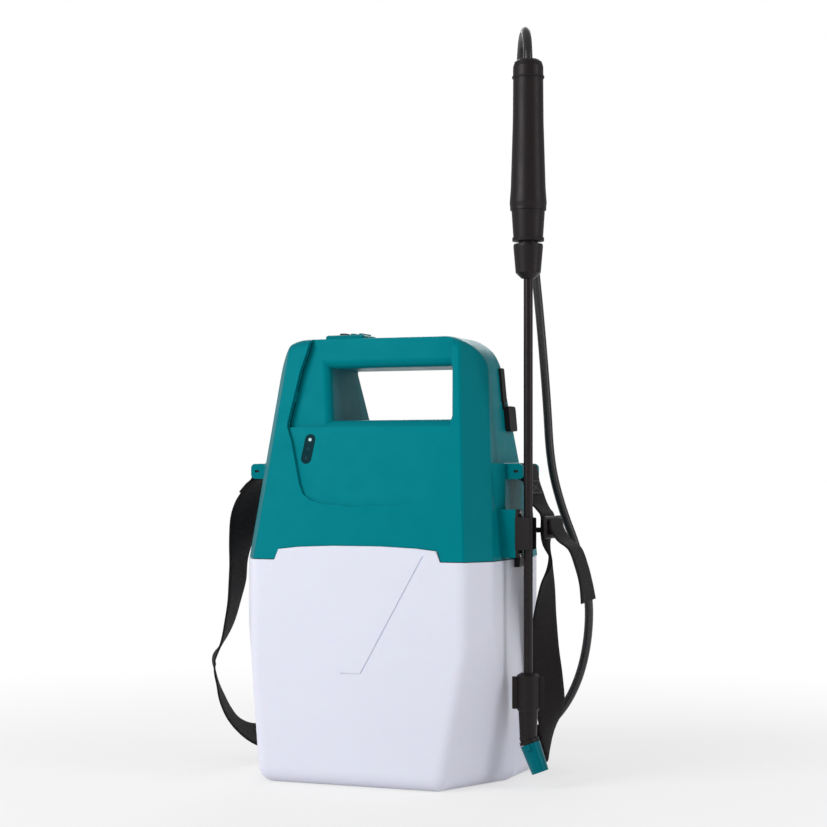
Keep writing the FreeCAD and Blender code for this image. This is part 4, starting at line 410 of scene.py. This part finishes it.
LOW_RUN = [
    ((86, 107.5, 19.5), (0, 0.3, 0.95)), ((51, 113, 19), (0, 0.25, 0.97)), ((10, 114, 19), (0, 0.28, 0.96)),
    ((-32, 112, 19.2), (0, 0.3, 0.95)), ((-72, 106, 19.5), (0, 0.3, 0.95)),
    ((-100.5, 94, 21.5), (0.05, 0.35, 0.93)),
]
LEFT_FALL = [
    ((-121.5, 79, 21), (-0.2, 0.55, 0.8)), ((-142, 60, 20.5), (-0.42, 0.66, 0.62)),
    ((-157, 44, 23.5), (-0.52, 0.72, 0.46)), ((-168.5, 33, 32), (-0.5, 0.8, 0.33)),
    ((-176.5, 25, 45), (-0.4, 0.9, 0.2)), ((-182, 20, 60), (-0.38, 0.92, 0.1)),
    ((-186, 18, 75), (-0.44, 0.9, 0)), ((-188.5, 17, 87), (-0.46, 0.89, 0)),
    ((-189, 17, 97), (-0.52, 0.85, 0)), ((-184.5, 17, 106), (-0.44, 0.9, 0)),
    ((-178.4, 17.5, 118), (-0.34, 0.94, 0)), ((-173.2, 18.5, 134), (-0.22, 0.98, 0)),
    ((-168.5, 19, 154), (-0.14, 0.99, 0)), ((-165.2, 19, 173), (-0.03, 1, 0)), ((-163.8, 19, 193), ALONG_Y),
    ((-159.5, 17, 215.4), (0.2, 0.98, 0)), ((-156, 14, 233.4), (0.25, 0.97, 0)),
    ((-151, 11, 246.4), (0.22, 0.97, 0)), ((-144.5, 8, 256.4), (0.15, 0.99, 0)),
    ((-137.5, 6, 263.9), (0.08, 1, 0)), ((-131.5, 5.3, 268.6), ALONG_Y),
    *bar_loop(-1, (265, 225, 180, 135, 90, 45, 0)), ((-134.2, 5.3, 270.6), ALONG_Y),
    ((-138.8, 6, 265.6), (0.08, 1, 0)), ((-144.6, 7.6, 259.4), (0.12, 1, 0)),
]
TAIL = [
    ((155.4, 5.3, 235.4), ALONG_Y), ((156.7, 5.3, 227.4), ALONG_Y), ((162.5, 5.5, 217.4), ALONG_Y),
    ((172.9, 6, 209), ALONG_Y), ((178.8, 6.5, 194), ALONG_Y), ((182.6, 7, 179), ALONG_Y),
    ((184.6, 8, 163), (0.05, 1, 0)),
]


def through_points(values, steps):
    """A Catmull-Rom line through every value."""
    line = []
    for n in range(len(values) - 1):
        before, start = values[max(n - 1, 0)], values[n]
        end, after = values[n + 1], values[min(n + 2, len(values) - 1)]
        for k in range(steps):
            t = k / steps
            square = (2 * before - 5 * start + 4 * end - after) * t * t
            cube = (3 * start - before - 3 * end + after) * t ** 3
            line.append(0.5 * ((2 * start) + (end - before) * t + square + cube))
    line.append(values[-1].copy())
    return line


SELVEDGE = 0.0006
SELVEDGE_BULGE = 0.0002
FACE_COLUMNS = 8
STATION_STEPS = 6


def webbing_profile():
    """The webbing's cross-section: two flat faces and a rounded selvedge at each side."""
    half, skin = WEBBING_WIDTH / 2, WEBBING_THICKNESS / 2
    face = WEBBING_WIDTH - 2 * SELVEDGE
    columns = [-half + SELVEDGE + face * k / FACE_COLUMNS for k in range(FACE_COLUMNS + 1)]
    selvedge = [(half - SELVEDGE_BULGE, skin * 0.6), (half, 0), (half - SELVEDGE_BULGE, -skin * 0.6)]
    return ([(column, skin) for column in columns] + selvedge
            + [(-column, -skin) for column in columns] + [(-column, -height) for column, height in selvedge])


def strip(name, stations):
    """Flat webbing through its stations, with its length and its (middle, across, through) frames."""
    middles = through_points([Vector(middle) * MM for middle, _ in stations], STATION_STEPS)
    widths = through_points([Vector(way) for _, way in stations], STATION_STEPS)
    profile = webbing_profile()
    build = bmesh.new()
    uv = build.loops.layers.uv.new("uv")
    rings, travelled, run, frames = [], [], 0.0, []
    for n, middle in enumerate(middles):
        along = (middles[min(n + 1, len(middles) - 1)] - middles[max(n - 1, 0)]).normalized()
        across = widths[n] - along * widths[n].dot(along)
        across.normalize()
        through = along.cross(across)
        frames.append((middle, across, through))
        rings.append([build.verts.new(middle + across * a + through * b) for a, b in profile])
        if n:
            run += (middle - middles[n - 1]).length
        travelled.append(run)
    count = len(profile)
    for n in range(len(rings) - 1):
        for k in range(count):
            j = (k + 1) % count
            face = build.faces.new((rings[n][k], rings[n][j], rings[n + 1][j], rings[n + 1][k]))
            for loop, (column, row) in zip(face.loops, ((k, n), (j, n), (j, n + 1), (k, n + 1))):
                loop[uv].uv = (profile[column][0] / WEBBING_WIDTH + 0.5, travelled[row])
    build.faces.new(list(reversed(rings[0])))
    build.faces.new(rings[-1])
    bmesh.ops.recalc_face_normals(build, faces=build.faces)
    piece = link_mesh(name, build)
    piece.data.materials.append(LOOKS["webbing"])
    return piece, run, frames


# A stitch: its section in multiples of a ring's size, and the reach and size of its rings in millimetres.
THREAD_SECTION = ((-1, -0.6), (1, -0.6), (1, 0.4), (0, 0.9), (-1, 0.4))
STITCH_RINGS = ((-1.15, 0.16), (-0.7, 0.38), (0.7, 0.38), (1.15, 0.16))
# In metres: stitch to stitch, half the sewn width, and the thread's distance from the webbing's middle.
STITCH_PITCH = 0.0032
SEWN_HALF = 0.015
SEWN_HEIGHT = 0.00095
SEAM_PARTS = 4


def stitches(name, lines):
    """Short lengths of thread along lines of (point, outward) pairs, standing just proud of the webbing."""
    build = bmesh.new()
    for line in lines:
        for (start, out), (end, _) in zip(line[:-1], line[1:]):
            step = end - start
            way = step.normalized()
            beside = out.cross(way).normalized()
            count = max(1, round(step.length / STITCH_PITCH))
            for k in range(count):
                middle = start + step * ((k + 0.5) / count)
                rings = [
                    [build.verts.new(middle + (way * reach + (beside * a + out * b) * wide) * MM)
                     for a, b in THREAD_SECTION]
                    for reach, wide in STITCH_RINGS
                ]
                sides = len(THREAD_SECTION)
                for near, far in zip(rings[:-1], rings[1:]):
                    for j in range(sides):
                        build.faces.new((near[j], near[(j + 1) % sides], far[(j + 1) % sides], far[j]))
                build.faces.new(rings[0])
                build.faces.new(list(reversed(rings[-1])))
    bmesh.ops.recalc_face_normals(build, faces=build.faces)
    piece = link_mesh(name, build)
    piece.data.materials.append(LOOKS["thread"])
    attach(piece, "sprayer")


def stitched_box(name, frames):
    """A sewn rectangle with a cross in it over a run of a strap's frames, on its outer face."""
    def spot(t, at):
        middle, across, through = frames[round(t * (len(frames) - 1))]
        return middle + across * at - through * SEWN_HEIGHT, -through

    low, high = -SEWN_HALF, SEWN_HALF
    seams = [((0, low), (0, high)), ((0, high), (1, high)), ((1, high), (1, low)), ((1, low), (0, low)),
             ((0, low), (1, high)), ((0, high), (1, low))]
    stitches(name, [[spot(t0 + (t1 - t0) * k / SEAM_PARTS, a0 + (a1 - a0) * k / SEAM_PARTS)
                     for k in range(SEAM_PARTS + 1)] for (t0, a0), (t1, a1) in seams])


strap, strap_length, strap_frames = strip("shoulder_strap", RIGHT_FALL + LOW_RUN + LEFT_FALL)
tail, tail_length, tail_frames = strip("strap_end", TAIL)
stitched_box("stitching_right", strap_frames[1:13])
stitched_box("stitching_left", strap_frames[-14:-2])
stitched_box("stitching_end", tail_frames[-10:-2])
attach(strap, "sprayer")
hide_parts("strap_right_fall", "strap_left_fall", "strap_low_run")
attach(tail, "sprayer")
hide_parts("strap_tail")


# ---------------------------------------------------------------- floor and light
FLOOR_RADIUS = 7
# Distances from the floor's middle, in metres, between which its own shade gives way to white.
FADE_START, FADE_END = 0.25, 1.1


def seen_by(tree, other_ray):
    """1 for camera rays and for one other kind of ray, else 0."""
    path = tool(tree, "ShaderNodeLightPath")
    either = tool(tree, "ShaderNodeMath", operation="MAXIMUM")
    tree.links.new(path.outputs["Is Camera Ray"], either.inputs[0])
    tree.links.new(path.outputs[other_ray], either.inputs[1])
    return either.outputs[0]


def make_floor():
    """A pale floor that keeps the object's shadow and fades to white away from it."""
    build = bmesh.new()
    bmesh.ops.create_circle(build, cap_ends=True, segments=96, radius=FLOOR_RADIUS)
    floor = link_mesh("floor", build, False)
    material = bpy.data.materials.new("floor")
    material.use_nodes = True
    tree = material.node_tree
    shader = tree.nodes["Principled BSDF"]
    shader.inputs["Base Color"].default_value = (0.86, 0.86, 0.86, 1)
    shader.inputs["Roughness"].default_value = 0.9
    shader.inputs["Specular IOR Level"].default_value = 0.1
    glow = tool(tree, "ShaderNodeEmission", Color=(1, 1, 1, 1), Strength=1.0)
    coords = tool(tree, "ShaderNodeTexCoord")
    length = tool(tree, "ShaderNodeVectorMath", operation="LENGTH")
    tree.links.new(coords.outputs["Object"], length.inputs[0])
    fade = tool(tree, "ShaderNodeMapRange", interpolation_type="SMOOTHSTEP", From_Min=FADE_START,
                From_Max=FADE_END, To_Min=0.6, To_Max=1.0)
    tree.links.new(length.outputs["Value"], fade.inputs["Value"])
    share = tool(tree, "ShaderNodeMath", operation="MULTIPLY")
    tree.links.new(seen_by(tree, "Is Glossy Ray"), share.inputs[0])
    tree.links.new(fade.outputs[0], share.inputs[1])
    mix = tool(tree, "ShaderNodeMixShader")
    tree.links.new(share.outputs[0], mix.inputs[0])
    tree.links.new(shader.outputs[0], mix.inputs[1])
    tree.links.new(glow.outputs[0], mix.inputs[2])
    tree.links.new(mix.outputs[0], tree.nodes["Material Output"].inputs["Surface"])
    floor.data.materials.append(material)


def make_world():
    """Soft light all round that is seen as plain white."""
    world = bpy.data.worlds.new("world")
    bpy.context.scene.world = world
    world.use_nodes = True
    tree = world.node_tree
    ground = tree.nodes["Background"]
    ground.inputs["Color"].default_value = (1, 1, 1, 1)
    strength = tool(tree, "ShaderNodeMapRange", To_Min=0.42, To_Max=1.0)
    tree.links.new(seen_by(tree, "Is Transmission Ray"), strength.inputs["Value"])
    tree.links.new(strength.outputs[0], ground.inputs["Strength"])


def lamp(name, place, target, size, energy):
    data = bpy.data.lights.new(name, "AREA")
    data.shape = "RECTANGLE"
    data.size, data.size_y = size
    data.energy = energy
    light = bpy.data.objects.new(name, data)
    bpy.context.collection.objects.link(light)
    light.location = place
    light.rotation_euler = (Vector(target) - Vector(place)).to_track_quat("-Z", "Y").to_euler()


make_floor()
make_world()
lamp("key", (-1.3, -2.0, 1.3), (0, 0, 0.25), (1.4, 1.4), 38)
lamp("right", (2.2, -0.2, 0.9), (0.1, 0, 0.2), (0.7, 1.8), 12)
lamp("back", (-0.6, 2.2, 1.6), (0, 0, 0.3), (1.6, 1.2), 18)
scene = bpy.context.scene
scene.view_settings.view_transform = "Standard"
